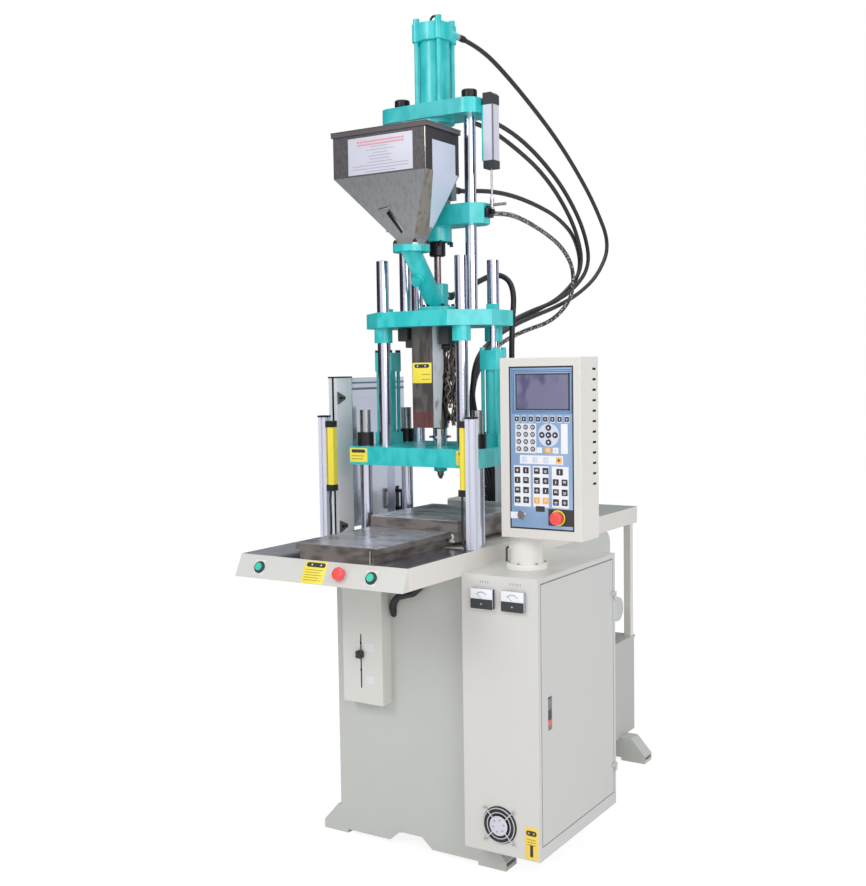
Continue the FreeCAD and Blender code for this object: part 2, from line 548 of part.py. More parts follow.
def curtain_unit(x, y, low, high):
    """Light curtain head: bevelled bar between two slightly larger end pieces."""
    half, depth = UNIT_WIDTH / 2 - 1, UNIT_DEPTH / 2 - 1
    core = [(-half, depth), (-half, -depth + 8), (-half + 8, -depth), (half - 8, -depth), (half, -depth + 8),
            (half, depth)]
    body = prism([(x + a, y + b) for a, b in core], "z", low + UNIT_END, high - UNIT_END)
    ends = [box(x - half - 1, x + half + 1, y - depth - 1, y + depth + 1, z, z + UNIT_END)
            for z in (low, high - UNIT_END)]
    return fuse([body] + ends)


def curtain_units():
    left = POST_LEFT_X + POST / 2 + UNIT_WIDTH / 2
    right = POST_RIGHT_X - POST / 2 - UNIT_WIDTH / 2
    return [curtain_unit(left, POST_Y_LEFT, UNIT_LEFT_LOW, UNIT_LEFT_HIGH),
            curtain_unit(right, POST_Y_RIGHT, UNIT_LEFT_LOW + UNIT_RIGHT_RISE, UNIT_LEFT_HIGH + UNIT_RIGHT_RISE)]


def guard_post():
    """Wide fixed post of the left guard with the pins its door hangs on."""
    post = box(GUARD_LEFT, GUARD_LEFT + GUARD_THICK, GUARD_POST_FRONT, GUARD_POST_REAR, TABLE_TOP, GUARD_HIGH)
    groove = box(GUARD_LEFT - 1, GUARD_LEFT + 4, (GUARD_POST_FRONT + GUARD_POST_REAR) / 2 - 5,
                 (GUARD_POST_FRONT + GUARD_POST_REAR) / 2 + 5, TABLE_TOP + 20, GUARD_HIGH - 20)
    pieces = [post.cut(groove)]
    for z in HINGE_Z:
        leaf = box(GUARD_LEFT - 4, GUARD_LEFT, GUARD_POST_REAR - 24, GUARD_PIN_Y, z, z + GUARD_LEAF)
        barrel = bar(GUARD_BARREL, GUARD_PIN_X, GUARD_PIN_Y, z, z + GUARD_LEAF)
        pin = bar(GUARD_PIN, GUARD_PIN_X, GUARD_PIN_Y, z, z + 2 * GUARD_LEAF)
        pieces += [leaf, barrel, pin]
    rooms = [bar(GUARD_BARREL + 0.5, GUARD_PIN_X, GUARD_PIN_Y, z + GUARD_LEAF + 0.2, z + 2 * GUARD_LEAF + 0.5).cut(
        bar(GUARD_PIN + 0.01, GUARD_PIN_X, GUARD_PIN_Y, z, z + 3 * GUARD_LEAF)) for z in HINGE_Z]
    return [fuse(pieces).cut(rooms)]


def electric_cabinet():
    """Sheet cabinet, open on its right side for the door, with a fan hole low in the front."""
    shell = box(CAB_LEFT, CAB_RIGHT, CAB_FRONT, CAB_REAR, BEAM_TOP, CAB_TOP)
    inside = box(CAB_LEFT + SHEET, CAB_RIGHT - SHEET, CAB_FRONT + SHEET, CAB_REAR - SHEET,
                 BEAM_TOP + SHEET, CAB_TOP - SHEET)
    doorway = box(CAB_RIGHT - SHEET - 1, CAB_RIGHT + 1, CAB_FRONT + CAB_FRAME, CAB_REAR - CAB_FRAME,
                  BEAM_TOP + CAB_PLINTH, CAB_TOP - CAB_FRAME)
    fan = Part.makeCylinder(FAN_HOLE, SHEET + 2, V(FAN_X, CAB_FRONT - 1, FAN_Z), V(0, 1, 0))
    cabinet = shell.cut([inside, doorway, fan])
    pins = []
    for z in (HINGE_LOW, HINGE_HIGH):
        pin_x = CAB_RIGHT + HINGE_OUT
        leaf = box(CAB_RIGHT, pin_x, CAB_REAR - CAB_FRAME + DOOR_GAP, CAB_REAR - HINGE_RADIUS, z, z + HINGE_LENGTH / 2)
        barrel = bar(HINGE_RADIUS, pin_x, CAB_REAR - CAB_FRAME + HINGE_RADIUS, z, z + HINGE_LENGTH / 2)
        pin = bar(HINGE_RADIUS / 2, pin_x, CAB_REAR - CAB_FRAME + HINGE_RADIUS, z, z + HINGE_LENGTH)
        pins += [leaf, barrel, pin]
    tray = box(CAB_LEFT + SHEET, CAB_LEFT + 2 * SHEET, CAB_FRONT + 60, CAB_REAR - 60, BEAM_TOP + 180, CAB_TOP - 120)
    battens = [box(BODY_RIGHT, CAB_LEFT, BODY_FRONT, CAB_REAR, z, z + BATTEN_HEIGHT) for z in BATTEN_ZS]
    return [fuse([cabinet, tray, fan_frame()] + pins + battens)]


def cabinet_door():
    """Pan-shaped door with a recessed tray for its handle."""
    x0, x1 = CAB_RIGHT - SHEET, CAB_RIGHT
    y0, y1 = CAB_FRONT + CAB_FRAME + DOOR_GAP, CAB_REAR - CAB_FRAME - DOOR_GAP
    z0, z1 = BEAM_TOP + CAB_PLINTH + DOOR_GAP, CAB_TOP - CAB_FRAME - DOOR_GAP
    skin = box(x0, x1, y0, y1, z0, z1)
    rim = box(x1 - DOOR_THICK, x0, y0 + 8, y1 - 8, z0 + 8, z1 - 8).cut(
        box(x1 - DOOR_THICK - 1, x0 + 1, y0 + 10, y1 - 10, z0 + 10, z1 - 10))
    half = LATCH_WIDTH / 2 + 3
    recess = box(x1 - 14, x1, LATCH_Y - half, LATCH_Y + half, LATCH_LOW - 4, LATCH_HIGH + 4)
    well = box(x1 - 12, x1 + 1, LATCH_Y - half + 2, LATCH_Y + half - 2, LATCH_LOW - 2, LATCH_HIGH + 2)
    pieces = [fuse([skin, rim, recess]).cut(well)]
    for z in (HINGE_LOW + HINGE_LENGTH / 2, HINGE_HIGH + HINGE_LENGTH / 2):
        pin_x, pin_y = CAB_RIGHT + HINGE_OUT, CAB_REAR - CAB_FRAME + HINGE_RADIUS
        leaf = box(CAB_RIGHT, CAB_RIGHT + HINGE_OUT, y1 - 14, pin_y, z + 0.5, z + HINGE_LENGTH / 2)
        barrel = bar(HINGE_RADIUS, pin_x, pin_y, z + 0.5, z + HINGE_LENGTH / 2)
        bore = bar(HINGE_RADIUS / 2 + RUNNING, pin_x, pin_y, z, z + HINGE_LENGTH)
        pieces.append(leaf.fuse(barrel).cut(bore))
    return [fuse(pieces)]


def cabinet_latch():
    """Flush swing handle: it lies in the door's well and pulls out about its upper end."""
    x = CAB_RIGHT - 12
    half = LATCH_WIDTH / 2
    grip = box(x + 4, x + 12, LATCH_Y - half, LATCH_Y + half, LATCH_LOW, LATCH_HIGH - 12)
    grip = rounded(grip, 3, lambda e: e.BoundBox.ZLength > 50 and e.BoundBox.XMin > x + 8)
    eye = Part.makeCylinder(6, LATCH_WIDTH, V(x + 6.5, LATCH_Y - half, LATCH_HIGH - 8), V(0, 1, 0))
    return [fuse([grip, eye, box(x + 4, x + 12, LATCH_Y - half, LATCH_Y + half, LATCH_HIGH - 13, LATCH_HIGH - 8)])]


def panel_meters():
    """Two pointer meters set on the cabinet's front: a raised face over a deeper case."""
    meters = []
    for x in METER_XS:
        half, low, high = METER_WIDTH / 2, METER_Z - METER_HEIGHT / 2, METER_Z + METER_HEIGHT / 2
        case = box(x - half, x + half, CAB_FRONT - METER_DEPTH * 0.6, CAB_FRONT, low, high)
        face = box(x - half + 2, x + half - 2, CAB_FRONT - METER_DEPTH, CAB_FRONT - METER_DEPTH * 0.6, low + 2,
                   high - 2)
        meters.append(fuse([case, face]))
    return meters


def fan_guard():
    """Wire finger guard: concentric rings on four ribs, with a screw ear at each rib's end."""
    y = CAB_FRONT - 8
    pieces = []
    for radius in FAN_RINGS:
        ring = Part.makeCylinder(radius + 1.2, 2.4, V(FAN_X, y, FAN_Z), V(0, 1, 0))
        pieces.append(ring.cut(Part.makeCylinder(radius - 1.2, 2.4, V(FAN_X, y, FAN_Z), V(0, 1, 0))))
    for turn in range(4):
        rib = box(FAN_X + FAN_RINGS[0], FAN_X + FAN_RADIUS + 8, y, y + 2.4, FAN_Z - 1.5, FAN_Z + 1.5)
        ear = Part.makeCylinder(5, 8, V(FAN_X + FAN_RADIUS + 10, y, FAN_Z), V(0, 1, 0))
        rib = rib.fuse(ear)
        rib.rotate(V(FAN_X, y, FAN_Z), V(0, 1, 0), 45 + 90 * turn)
        pieces.append(rib)
    hub = Part.makeCylinder(FAN_RINGS[0], 2.4, V(FAN_X, y, FAN_Z), V(0, 1, 0))
    return [fuse(pieces + [hub])]


def fan_rotor():
    """Axial fan wheel with twisted blades behind the guard."""
    y0, depth = CAB_FRONT + SHEET + 4, 18.0
    hub = Part.makeCylinder(FAN_HUB, depth, V(FAN_X, y0, FAN_Z), V(0, 1, 0))
    blades = []
    for i in range(FAN_BLADES):
        blade = box(FAN_X + FAN_HUB - 2, FAN_X + FAN_HOLE - 6, y0 + depth / 2 - 1.2, y0 + depth / 2 + 1.2,
                    FAN_Z - 10, FAN_Z + 10)
        blade.rotate(V(FAN_X, y0 + depth / 2, FAN_Z), V(1, 0, 0), 32)
        blade.rotate(V(FAN_X, y0, FAN_Z), V(0, 1, 0), 360.0 * i / FAN_BLADES)
        blades.append(blade)
    shaft = Part.makeCylinder(4, 22, V(FAN_X, y0 + depth, FAN_Z), V(0, 1, 0))
    return [fuse([hub, shaft] + blades)]


def fan_frame():
    """Fan frame behind the cabinet's front: a tunnel with the motor that holds the shaft on a strut."""
    y0 = CAB_FRONT + SHEET
    depth = 40.0
    half = FAN_RADIUS
    frame = box(FAN_X - half, FAN_X + half, y0, y0 + depth, FAN_Z - half, FAN_Z + half)
    tunnel = Part.makeCylinder(FAN_HOLE, depth, V(FAN_X, y0, FAN_Z), V(0, 1, 0))
    strut = box(FAN_X - half, FAN_X + half, y0 + depth - 6, y0 + depth, FAN_Z - 5, FAN_Z + 5)
    motor = Part.makeCylinder(FAN_HUB, 14, V(FAN_X, y0 + depth - 14, FAN_Z), V(0, 1, 0))
    bore = Part.makeCylinder(4 + RUNNING, depth, V(FAN_X, y0, FAN_Z), V(0, 1, 0))
    return fuse([frame.cut(tunnel), strut, motor]).cut(bore)


def pendant_column():
    """Round column on the cabinet's top: the pendant's stub turns in it."""
    tube = bar(COLUMN_RADIUS, COLUMN_X, COLUMN_Y, CAB_TOP, COLUMN_TOP)
    flange = bar(COLUMN_FLANGE, COLUMN_X, COLUMN_Y, CAB_TOP, CAB_TOP + COLUMN_FLANGE_HEIGHT)
    column = rounded(fuse([tube, flange]), 6,
                     ring_edge_at(CAB_TOP + COLUMN_FLANGE_HEIGHT, COLUMN_FLANGE))
    column = column.cut(bar(COLUMN_BORE, COLUMN_X, COLUMN_Y, CAB_TOP + 8, COLUMN_TOP + 1))
    lug = Part.makeCylinder(9, 12, V(COLUMN_X - COLUMN_RADIUS - 8, COLUMN_Y, LEVER_Z), V(1, 0, 0))
    bore = Part.makeCylinder(LEVER_RADIUS + RUNNING, 16, V(COLUMN_X - COLUMN_RADIUS - 9, COLUMN_Y, LEVER_Z),
                             V(1, 0, 0))
    return [fuse([column, lug.cut(bar(COLUMN_BORE, COLUMN_X, COLUMN_Y, CAB_TOP, COLUMN_TOP))]).cut(bore)]


def lock_lever():
    """Bent-rod clamp lever of the pendant: a screw into the column with an arm hanging from it."""
    x0 = COLUMN_X - COLUMN_RADIUS - 22
    path = Part.Wire([Part.makeLine(V(COLUMN_X - COLUMN_RADIUS + 1, COLUMN_Y, LEVER_Z), V(x0 + 7, COLUMN_Y, LEVER_Z)),
                      Part.Arc(V(x0 + 7, COLUMN_Y, LEVER_Z), V(x0 + 2.05, COLUMN_Y, LEVER_Z - 2.05),
                               V(x0, COLUMN_Y, LEVER_Z - 7)).toShape(),
                      Part.makeLine(V(x0, COLUMN_Y, LEVER_Z - 7), V(x0, COLUMN_Y, LEVER_Z - 46))])
    start = Part.Wire(Part.makeCircle(LEVER_RADIUS, V(COLUMN_X - COLUMN_RADIUS + 1, COLUMN_Y, LEVER_Z), V(1, 0, 0)))
    return [path.makePipeShell([start], True, False)]


def pump_motor():
    """Electric motor lying on the tank, with cooling fins, feet, bell housing and oil pump."""
    z = TANK_TOP + MOTOR_FRAME_RADIUS + 20
    axis = V(1, 0, 0)
    x0 = PUMP_MOTOR_LEFT
    frame = Part.makeCylinder(MOTOR_FRAME_RADIUS - 8, MOTOR_LENGTH, V(x0, PUMP_MOTOR_Y, z), axis)
    fins = []
    for k in range(12):
        fin = box(x0 + 40, x0 + MOTOR_LENGTH - 40, PUMP_MOTOR_Y - 2, PUMP_MOTOR_Y + 2, z + MOTOR_FRAME_RADIUS - 14,
                  z + MOTOR_FRAME_RADIUS)
        fin.rotate(V(0, PUMP_MOTOR_Y, z), axis, -75 + 150.0 * k / 11)
        fins.append(fin)
    cowl = Part.makeCylinder(MOTOR_FRAME_RADIUS - 2, 36, V(x0, PUMP_MOTOR_Y, z), axis)
    shield = Part.makeCylinder(MOTOR_FRAME_RADIUS - 2, 14, V(x0 + MOTOR_LENGTH - 14, PUMP_MOTOR_Y, z), axis)
    foot = prism([(PUMP_MOTOR_Y - 95, TANK_TOP), (PUMP_MOTOR_Y + 95, TANK_TOP), (PUMP_MOTOR_Y + 95, TANK_TOP + 12),
                  (PUMP_MOTOR_Y + 50, z - 60), (PUMP_MOTOR_Y - 50, z - 60), (PUMP_MOTOR_Y - 95, TANK_TOP + 12)],
                 "x", x0 + 60, x0 + MOTOR_LENGTH - 60)
    bell = Part.makeCone(80, PUMP_RADIUS, 40, V(x0 + MOTOR_LENGTH, PUMP_MOTOR_Y, z), axis)
    pump = Part.makeCylinder(PUMP_RADIUS, PUMP_LENGTH, V(x0 + MOTOR_LENGTH + 40, PUMP_MOTOR_Y, z), axis)
    return [fuse([frame, foot, cowl, shield, bell, pump] + fins)]


def valve_cover():
    """Cover behind the mould table with the well that the hoses go down, and an upright cable duct in front."""
    cover = box(VALVE_LEFT, VALVE_RIGHT, RAIL_REAR, VALVE_REAR, TABLE_TOP, VALVE_TOP)
    cover = bevelled(cover, 6, lambda e: e.BoundBox.ZMin > VALVE_TOP - 1 and e.BoundBox.YLength < 1)
    duct = box(DUCT_LEFT, DUCT_RIGHT, RAIL_REAR - DUCT_DEPTH, RAIL_REAR, RAIL_TOP, DUCT_TOP)
    groove = box((DUCT_LEFT + DUCT_RIGHT) / 2 - 2, (DUCT_LEFT + DUCT_RIGHT) / 2 + 2, RAIL_REAR - DUCT_DEPTH - 1,
                 RAIL_REAR - DUCT_DEPTH + 3, RAIL_TOP + 10, DUCT_TOP - 10)
    well = box(WELL_LEFT, WELL_RIGHT, WELL_FRONT, WELL_REAR, TABLE_TOP - 1, VALVE_TOP + 1)
    return [fuse([cover, duct]).cut([groove, well])]


# ================================================================ clamp body
def middle_platen():
    """Upper mould platen, bored for the nozzle, with its ring below and tapped mould holes."""
    platen = box(-PLATEN_X, PLATEN_X, -PLATEN_Y, PLATEN_Y, PLATEN_BOTTOM, PLATEN_TOP)
    platen = bevelled(platen, 4, upright)
    ring = bar(RING_RADIUS, 0, 0, PLATEN_BOTTOM - RING_DROP, PLATEN_BOTTOM)
    platen = fuse([platen, ring])
    holes = [bar(BARREL_RADIUS + 6, 0, 0, PLATEN_BOTTOM + 20, PLATEN_TOP + 1),
             bar(NOZZLE_BODY + 1.5, 0, 0, PLATEN_BOTTOM - RING_DROP - 1, PLATEN_TOP)]
    holes += [bar(TIE_STUB, x, y, PLATEN_BOTTOM - 1, PLATEN_TOP + 1) for x, y in four(TIE_X, TIE_Y)]
    holes += [bar(MOULD_BOLT, x, y, PLATEN_BOTTOM - 1, PLATEN_BOTTOM + MOULD_BOLT_DEPTH)
              for x, y in four(MOULD_PITCH_X / 2, MOULD_PITCH_Y / 2)]
    return [platen.cut(holes)]


def tie_bars():
    """Four clamp tie bars, shouldered against platen and yoke, each with its two round nuts."""
    bars = []
    for x, y in four(TIE_X, TIE_Y):
        main = bar(TIE_RADIUS, x, y, YOKE_TOP, PLATEN_BOTTOM)
        stub = bar(TIE_STUB, x, y, TIE_BOTTOM, TIE_TOP)
        crown = bar(TIE_RADIUS - 2, x, y, PLATEN_TOP + NUT_HEIGHT, TIE_TOP)
        nuts = [bar(NUT_RADIUS, x, y, PLATEN_TOP, PLATEN_TOP + NUT_HEIGHT),
                bar(NUT_RADIUS, x, y, YOKE_BOTTOM - NUT_HEIGHT + 10, YOKE_BOTTOM)]
        bars.append(fuse([main, stub, crown] + nuts))
    return bars


def guide_rods():
    """Four chromed rods standing on the middle platen that guide the carriage."""
    rods = []
    for x, y in four(GUIDE_X, GUIDE_Y):
        rods.append(bevelled(bar(GUIDE_RADIUS, x, y, PLATEN_TOP, GUIDE_TOP), 2,
                             ring_edge_at(GUIDE_TOP, GUIDE_RADIUS)))
    return rods


def lower_yoke():
    """Cross plate that joins the tie bars to the clamp ram inside the body."""
    outline = [(-YOKE_X, -YOKE_Y), (YOKE_X, -YOKE_Y), (YOKE_X, YOKE_Y), (-YOKE_X, YOKE_Y)]
    yoke = bevelled(prism(outline, "z", YOKE_BOTTOM, YOKE_TOP), 30, upright)
    cuts = [bar(TIE_STUB, x, y, YOKE_BOTTOM - 1, YOKE_TOP + 1) for x, y in four(TIE_X, TIE_Y)]
    cuts.append(bar(CLAMP_ROD - 8, 0, 0, YOKE_TOP - 30, YOKE_TOP + 1))
    return [yoke.cut(cuts)]


def clamp_ram():
    """Clamp piston with its rod, which carries the yoke up and down."""
    low = CLAMP_CYL_BOTTOM + 34 + CLAMP_STROKE + 20
    piston = bar(CLAMP_BORE - RUNNING, 0, 0, low, low + CLAMP_PISTON)
    rod = bar(CLAMP_ROD, 0, 0, YOKE_TOP, low)
    spigot = bar(CLAMP_ROD - 8, 0, 0, YOKE_TOP - 30, YOKE_TOP)
    return [fuse([piston, rod, spigot])]


def lift_cylinder(side):
    """Carriage cylinder on the middle platen: foot, tube, four stay rods with nuts, and head."""
    x = side * LIFT_X
    half = LIFT_HEAD / 2
    foot = box(x - half, x + half, -half, half, PLATEN_TOP, PLATEN_TOP + LIFT_FOOT)
    head = bevelled(box(x - half, x + half, -half, half, LIFT_HEAD_BOTTOM, LIFT_HEAD_TOP), 5, upright)
    tube = bar(LIFT_TUBE_RADIUS, x, 0, PLATEN_TOP + LIFT_FOOT, LIFT_HEAD_BOTTOM)
    stays = []
    for dx, dy in four(LIFT_STAY_PITCH, LIFT_STAY_PITCH):
        stays.append(bar(LIFT_STAY_RADIUS, x + dx, dy, PLATEN_TOP + LIFT_FOOT, LIFT_HEAD_BOTTOM))
        stays.append(bar(LIFT_STAY_RADIUS + 3, x + dx, dy, LIFT_HEAD_TOP, LIFT_HEAD_TOP + 9))
    bore = bar(LIFT_BORE, x, 0, PLATEN_TOP + 12, LIFT_HEAD_BOTTOM + 12)
    gland = bar(LIFT_ROD + RUNNING, x, 0, LIFT_HEAD_BOTTOM, LIFT_HEAD_TOP + 1)
    return fuse([foot, head, tube] + stays).cut([bore, gland])


def lift_cylinders():
    return [lift_cylinder(-1), lift_cylinder(1)]


# ================================================================ carriage body
def upper_plate():
    """Eight-sided carriage plate with a flanged bush under each guide-rod hole."""
    x, y, cx, cy = UPPER_X, UPPER_Y, UPPER_CORNER_X, UPPER_CORNER_Y
    outline = [(-cx, -y), (cx, -y), (x, -cy), (x, cy), (cx, y), (-cx, y), (-x, cy), (-x, -cy)]
    plate = prism(outline, "z", UPPER_BOTTOM, UPPER_TOP)
    bushes = []
    for gx, gy in four(GUIDE_X, GUIDE_Y):
        bushes.append(bar(BUSH_RADIUS, gx, gy, BUSH_BOTTOM, UPPER_BOTTOM))
    boss = bar(BOSS_RADIUS, 0, 0, UPPER_TOP, UPPER_TOP + BOSS_HEIGHT)
    boss = rounded(boss, 5, ring_edge_at(UPPER_TOP + BOSS_HEIGHT, BOSS_RADIUS))
    plate = fuse([plate, boss] + bushes)
    cuts = [bar(GUIDE_RADIUS + RUNNING, gx, gy, BUSH_BOTTOM - 1, UPPER_TOP + 1) for gx, gy in four(GUIDE_X, GUIDE_Y)]
    cuts.append(bar(BARREL_RADIUS, 0, 0, UPPER_BOTTOM - 1, UPPER_TOP + BOSS_HEIGHT + 1))
    cuts += [bar(LIFT_ROD, side * LIFT_X, 0, UPPER_BOTTOM - 1, UPPER_TOP + 1) for side in (-1, 1)]
    return [plate.cut(cuts)]


def lift_rods():
    """Piston rods of the two carriage cylinders with a square rod end on the upper plate."""
    rods = []
    for side in (-1, 1):
        x = side * LIFT_X
        low = PLATEN_TOP + 30
        half = LIFT_EAR / 2
        ear = box(x - half, x + half, -half, half, UPPER_TOP, UPPER_TOP + LIFT_EAR_HEIGHT)
        rods.append(fuse([bar(LIFT_BORE - RUNNING, x, 0, low, low + 18), bar(LIFT_ROD, x, 0, low, UPPER_TOP), ear]))
    return rods


def barrel():
    """Heated barrel with its shield disc, nozzle and bore for the screw."""
    outer = [(0, NOZZLE_TIP), (4, NOZZLE_TIP), (11, NOZZLE_TIP + 14), (11, NOZZLE_TIP + 24),
             (NOZZLE_BODY, NOZZLE_TIP + 24),
             (NOZZLE_BODY, BARREL_BOTTOM + 22), (BARREL_RADIUS, BARREL_BOTTOM + 22), (BARREL_RADIUS, DISC_Z),
             (DISC_RADIUS, DISC_Z), (DISC_RADIUS, DISC_Z + DISC_THICK), (BARREL_RADIUS, DISC_Z + DISC_THICK),
             (BARREL_RADIUS, UPPER_TOP + BOSS_HEIGHT), (0, UPPER_TOP + BOSS_HEIGHT)]
    wire = Part.makePolygon([V(r, 0, z) for r, z in outer + outer[:1]])
    solid = Part.Face(wire).revolve(V(0, 0, 0), UP, 360)
    bore = bar(SCREW_RADIUS + RUNNING, 0, 0, BORE_BOTTOM, UPPER_TOP + BOSS_HEIGHT + 1)
    sprue = bar(2, 0, 0, NOZZLE_TIP - 1, BORE_BOTTOM + 1)
    return [solid.cut([bore, sprue])]


def heater_bands():
    """Band heaters round the barrel, each with its clamp ears and terminal box at the back."""
    bands = []
    for k in range(BAND_COUNT):
        z = BAND_FIRST + k * BAND_STEP
        ring = bar(BAND_RADIUS, 0, 0, z, z + BAND_LENGTH).cut(bar(BARREL_RADIUS, 0, 0, z, z + BAND_LENGTH))
        terminal = box(-12, 12, BAND_RADIUS - 2, BAND_RADIUS + 14, z + 12, z + BAND_LENGTH - 12)
        bands.append(fuse([ring, terminal]))
    return bands


def barrel_cover():
    """Bent stainless guard in front of the heaters, its right wing cut on the slant."""
    t = COVER_SHEET
    front = box(-COVER_HALF, COVER_HALF, COVER_FRONT, COVER_FRONT + t, COVER_BOTTOM, COVER_TOP)
    left = box(-COVER_HALF, -COVER_HALF + t, COVER_FRONT, COVER_LEFT_BACK, COVER_BOTTOM, COVER_TOP)
    wing = prism([(COVER_FRONT, COVER_BOTTOM), (COVER_FLAP_BOTTOM, COVER_BOTTOM), (COVER_FLAP_TOP, COVER_TOP),
                  (COVER_FRONT, COVER_TOP)], "x", COVER_HALF - t, COVER_HALF)
    flange = box(-COVER_HALF, COVER_HALF, COVER_FRONT, COVER_FRONT + 22, COVER_TOP - t, COVER_TOP)
    return [fuse([front, left, wing, flange])]


def feed_throat():
    """Cast throat on the carriage plate: upright housing for the screw shank and slanting feed pipe."""
    base = UPPER_TOP + BOSS_HEIGHT
    housing = bar(THROAT_RADIUS, 0, 0, base, THROAT_TOP)
    housing = rounded(housing, 4, ring_edge_at(THROAT_TOP, THROAT_RADIUS))
    foot, mouth = V(0, PIPE_FOOT_Y, PIPE_FOOT_Z), V(0, PIPE_TOP_Y, PIPE_TOP_Z)
    along = (mouth - foot).normalize()
    start, length = foot - along * 20, (mouth - foot).Length + 60
    pipe = Part.makeCylinder(PIPE_RADIUS, length, start, along)
    pipe = pipe.common(box(-80, 80, -300, 60, base, PIPE_TOP_Z))
    flange = bar(FEED_FLANGE_RADIUS, 0, PIPE_TOP_Y, PIPE_TOP_Z, PIPE_TOP_Z + FEED_FLANGE)
    out = V(0, along.z, -along.y) * -1
    plug_at = foot + along * ((mouth - foot).Length * 0.62) + out * (PIPE_RADIUS - 4)
    collar = Part.makeCylinder(PLUG_RADIUS + 5, 10, plug_at, out)
    plug = Part.makeCylinder(PLUG_RADIUS, PLUG_LENGTH, plug_at + out * 8, out)
    shank = bar(SHANK_RADIUS + 1, 0, 0, base - 1, THROAT_TOP + 1)
    water = Part.makeCylinder(HOSE_UNION + 2, THROAT_PORT_REAR, V(0, 0, THROAT_PORT_Z), V(0, 1, 0))
    return [fuse([housing, pipe, flange, collar, plug, water]).cut(shank)]


def hopper():
    """Folded stainless hopper: a box that tapers off-centre to a square neck on a bolted plate."""
    def form(shrink, top, neck_low):
        x0, x1 = HOPPER_LEFT + shrink, HOPPER_RIGHT - shrink
        y0, y1 = HOPPER_FRONT + shrink, HOPPER_BACK - shrink
        neck = NECK_HALF - shrink
        upper = box(x0, x1, y0, y1, HOPPER_LOW, top)
        cone = frustum((-neck, neck, PIPE_TOP_Y - neck, PIPE_TOP_Y + neck, NECK_BOTTOM),
                       (x0, x1, y0, y1, HOPPER_LOW))
        throat = box(-neck, neck, PIPE_TOP_Y - neck, PIPE_TOP_Y + neck, neck_low, NECK_BOTTOM)
        return fuse([upper, cone, throat])
    plate_low = PIPE_TOP_Z + FEED_FLANGE
    outer = form(0, HOPPER_TOP, plate_low)
    rim = box(HOPPER_LEFT - HOPPER_RIM, HOPPER_RIGHT + HOPPER_RIM, HOPPER_FRONT - HOPPER_RIM,
              HOPPER_BACK + HOPPER_RIM, HOPPER_TOP - HOPPER_RIM_DEPTH, HOPPER_TOP)
    plate = box(-NECK_PLATE_HALF, NECK_PLATE_HALF, PIPE_TOP_Y - NECK_PLATE_HALF, PIPE_TOP_Y + NECK_PLATE_HALF,
                plate_low, plate_low + NECK_PLATE)
    plate = plate.common(bar(FEED_FLANGE_RADIUS, 0, PIPE_TOP_Y, plate_low, plate_low + NECK_PLATE))
    inner = form(HOPPER_SHEET, HOPPER_TOP + 1, plate_low + 2)
    shell = fuse([outer, rim, plate]).cut(inner)
    hinges = []
    for x in LID_HINGE_XS:
        for x0 in (x - 1.5 * LID_HINGE, x + 0.5 * LID_HINGE):
            hinges.append(along_x(LID_KNUCKLE, x0, LID_HINGE))
            hinges.append(box(x0, x0 + LID_HINGE, HOPPER_BACK + HOPPER_RIM, LID_AXIS_Y,
                              LID_AXIS_Z - LID_KNUCKLE - 4, LID_AXIS_Z - 0.5))
        hinges.append(along_x(LID_PIN, x - 1.5 * LID_HINGE, 3 * LID_HINGE))
    return [fuse([shell] + hinges)]


def along_x(radius, x0, length):
    """Round bar along X on the axis of the lid's hinges."""
    return Part.makeCylinder(radius, length, V(x0, LID_AXIS_Y, LID_AXIS_Z), V(1, 0, 0))


def hopper_lid():
    """Flat lid with a turned-down rim, hinged along the hopper's back edge."""
    x0, x1 = HOPPER_LEFT - HOPPER_RIM - LID, HOPPER_RIGHT + HOPPER_RIM + LID
    y0 = HOPPER_FRONT - HOPPER_RIM - LID
    y1 = HOPPER_BACK + HOPPER_RIM
    lid = box(x0, x1, y0, y1, HOPPER_TOP + 0.5, HOPPER_TOP + 0.5 + LID)
    rim = box(x0, x1, y0, y0 + LID - 0.5, HOPPER_TOP - LID_RIM, HOPPER_TOP + 0.5)
    grip = Part.makeCylinder(5, 90, V((x0 + x1) / 2 - 45, y0 + 40, HOPPER_TOP + LID + 26), V(1, 0, 0))
    posts = [bar(4, (x0 + x1) / 2 + dx, y0 + 40, HOPPER_TOP + LID, HOPPER_TOP + LID + 26) for dx in (-38, 38)]
    pieces, bores = [lid, rim, grip] + posts, []
    for x in LID_HINGE_XS:
        start, length = x - LID_HINGE / 2 + 0.5, LID_HINGE - 1
        pieces.append(along_x(LID_KNUCKLE, start, length))
        pieces.append(box(start, start + length, y1 - 1, LID_AXIS_Y, LID_AXIS_Z, LID_AXIS_Z + LID))
        bores.append(along_x(LID_PIN + RUNNING, start - 1, length + 2))
    return [fuse(pieces).cut(bores)]


def tall_rods():
    """Two rods from the carriage plate to the top plate, with a round nut on top of each."""
    rods = []
    for side in (-1, 1):
        x = side * TALL_X
        rod = bar(TALL_RADIUS, x, 0, UPPER_TOP, TOP_BOTTOM)
        stud = bar(TALL_RADIUS - 5, x, 0, TOP_BOTTOM, TOP_TOP)
        nut = bar(ROD_NUT_RADIUS, x, 0, TOP_TOP, ROD_NUT_TOP)
        nut = bevelled(nut, 3, ring_edge_at(ROD_NUT_TOP, ROD_NUT_RADIUS))
        rods.append(fuse([rod, stud, nut]))
    return rods


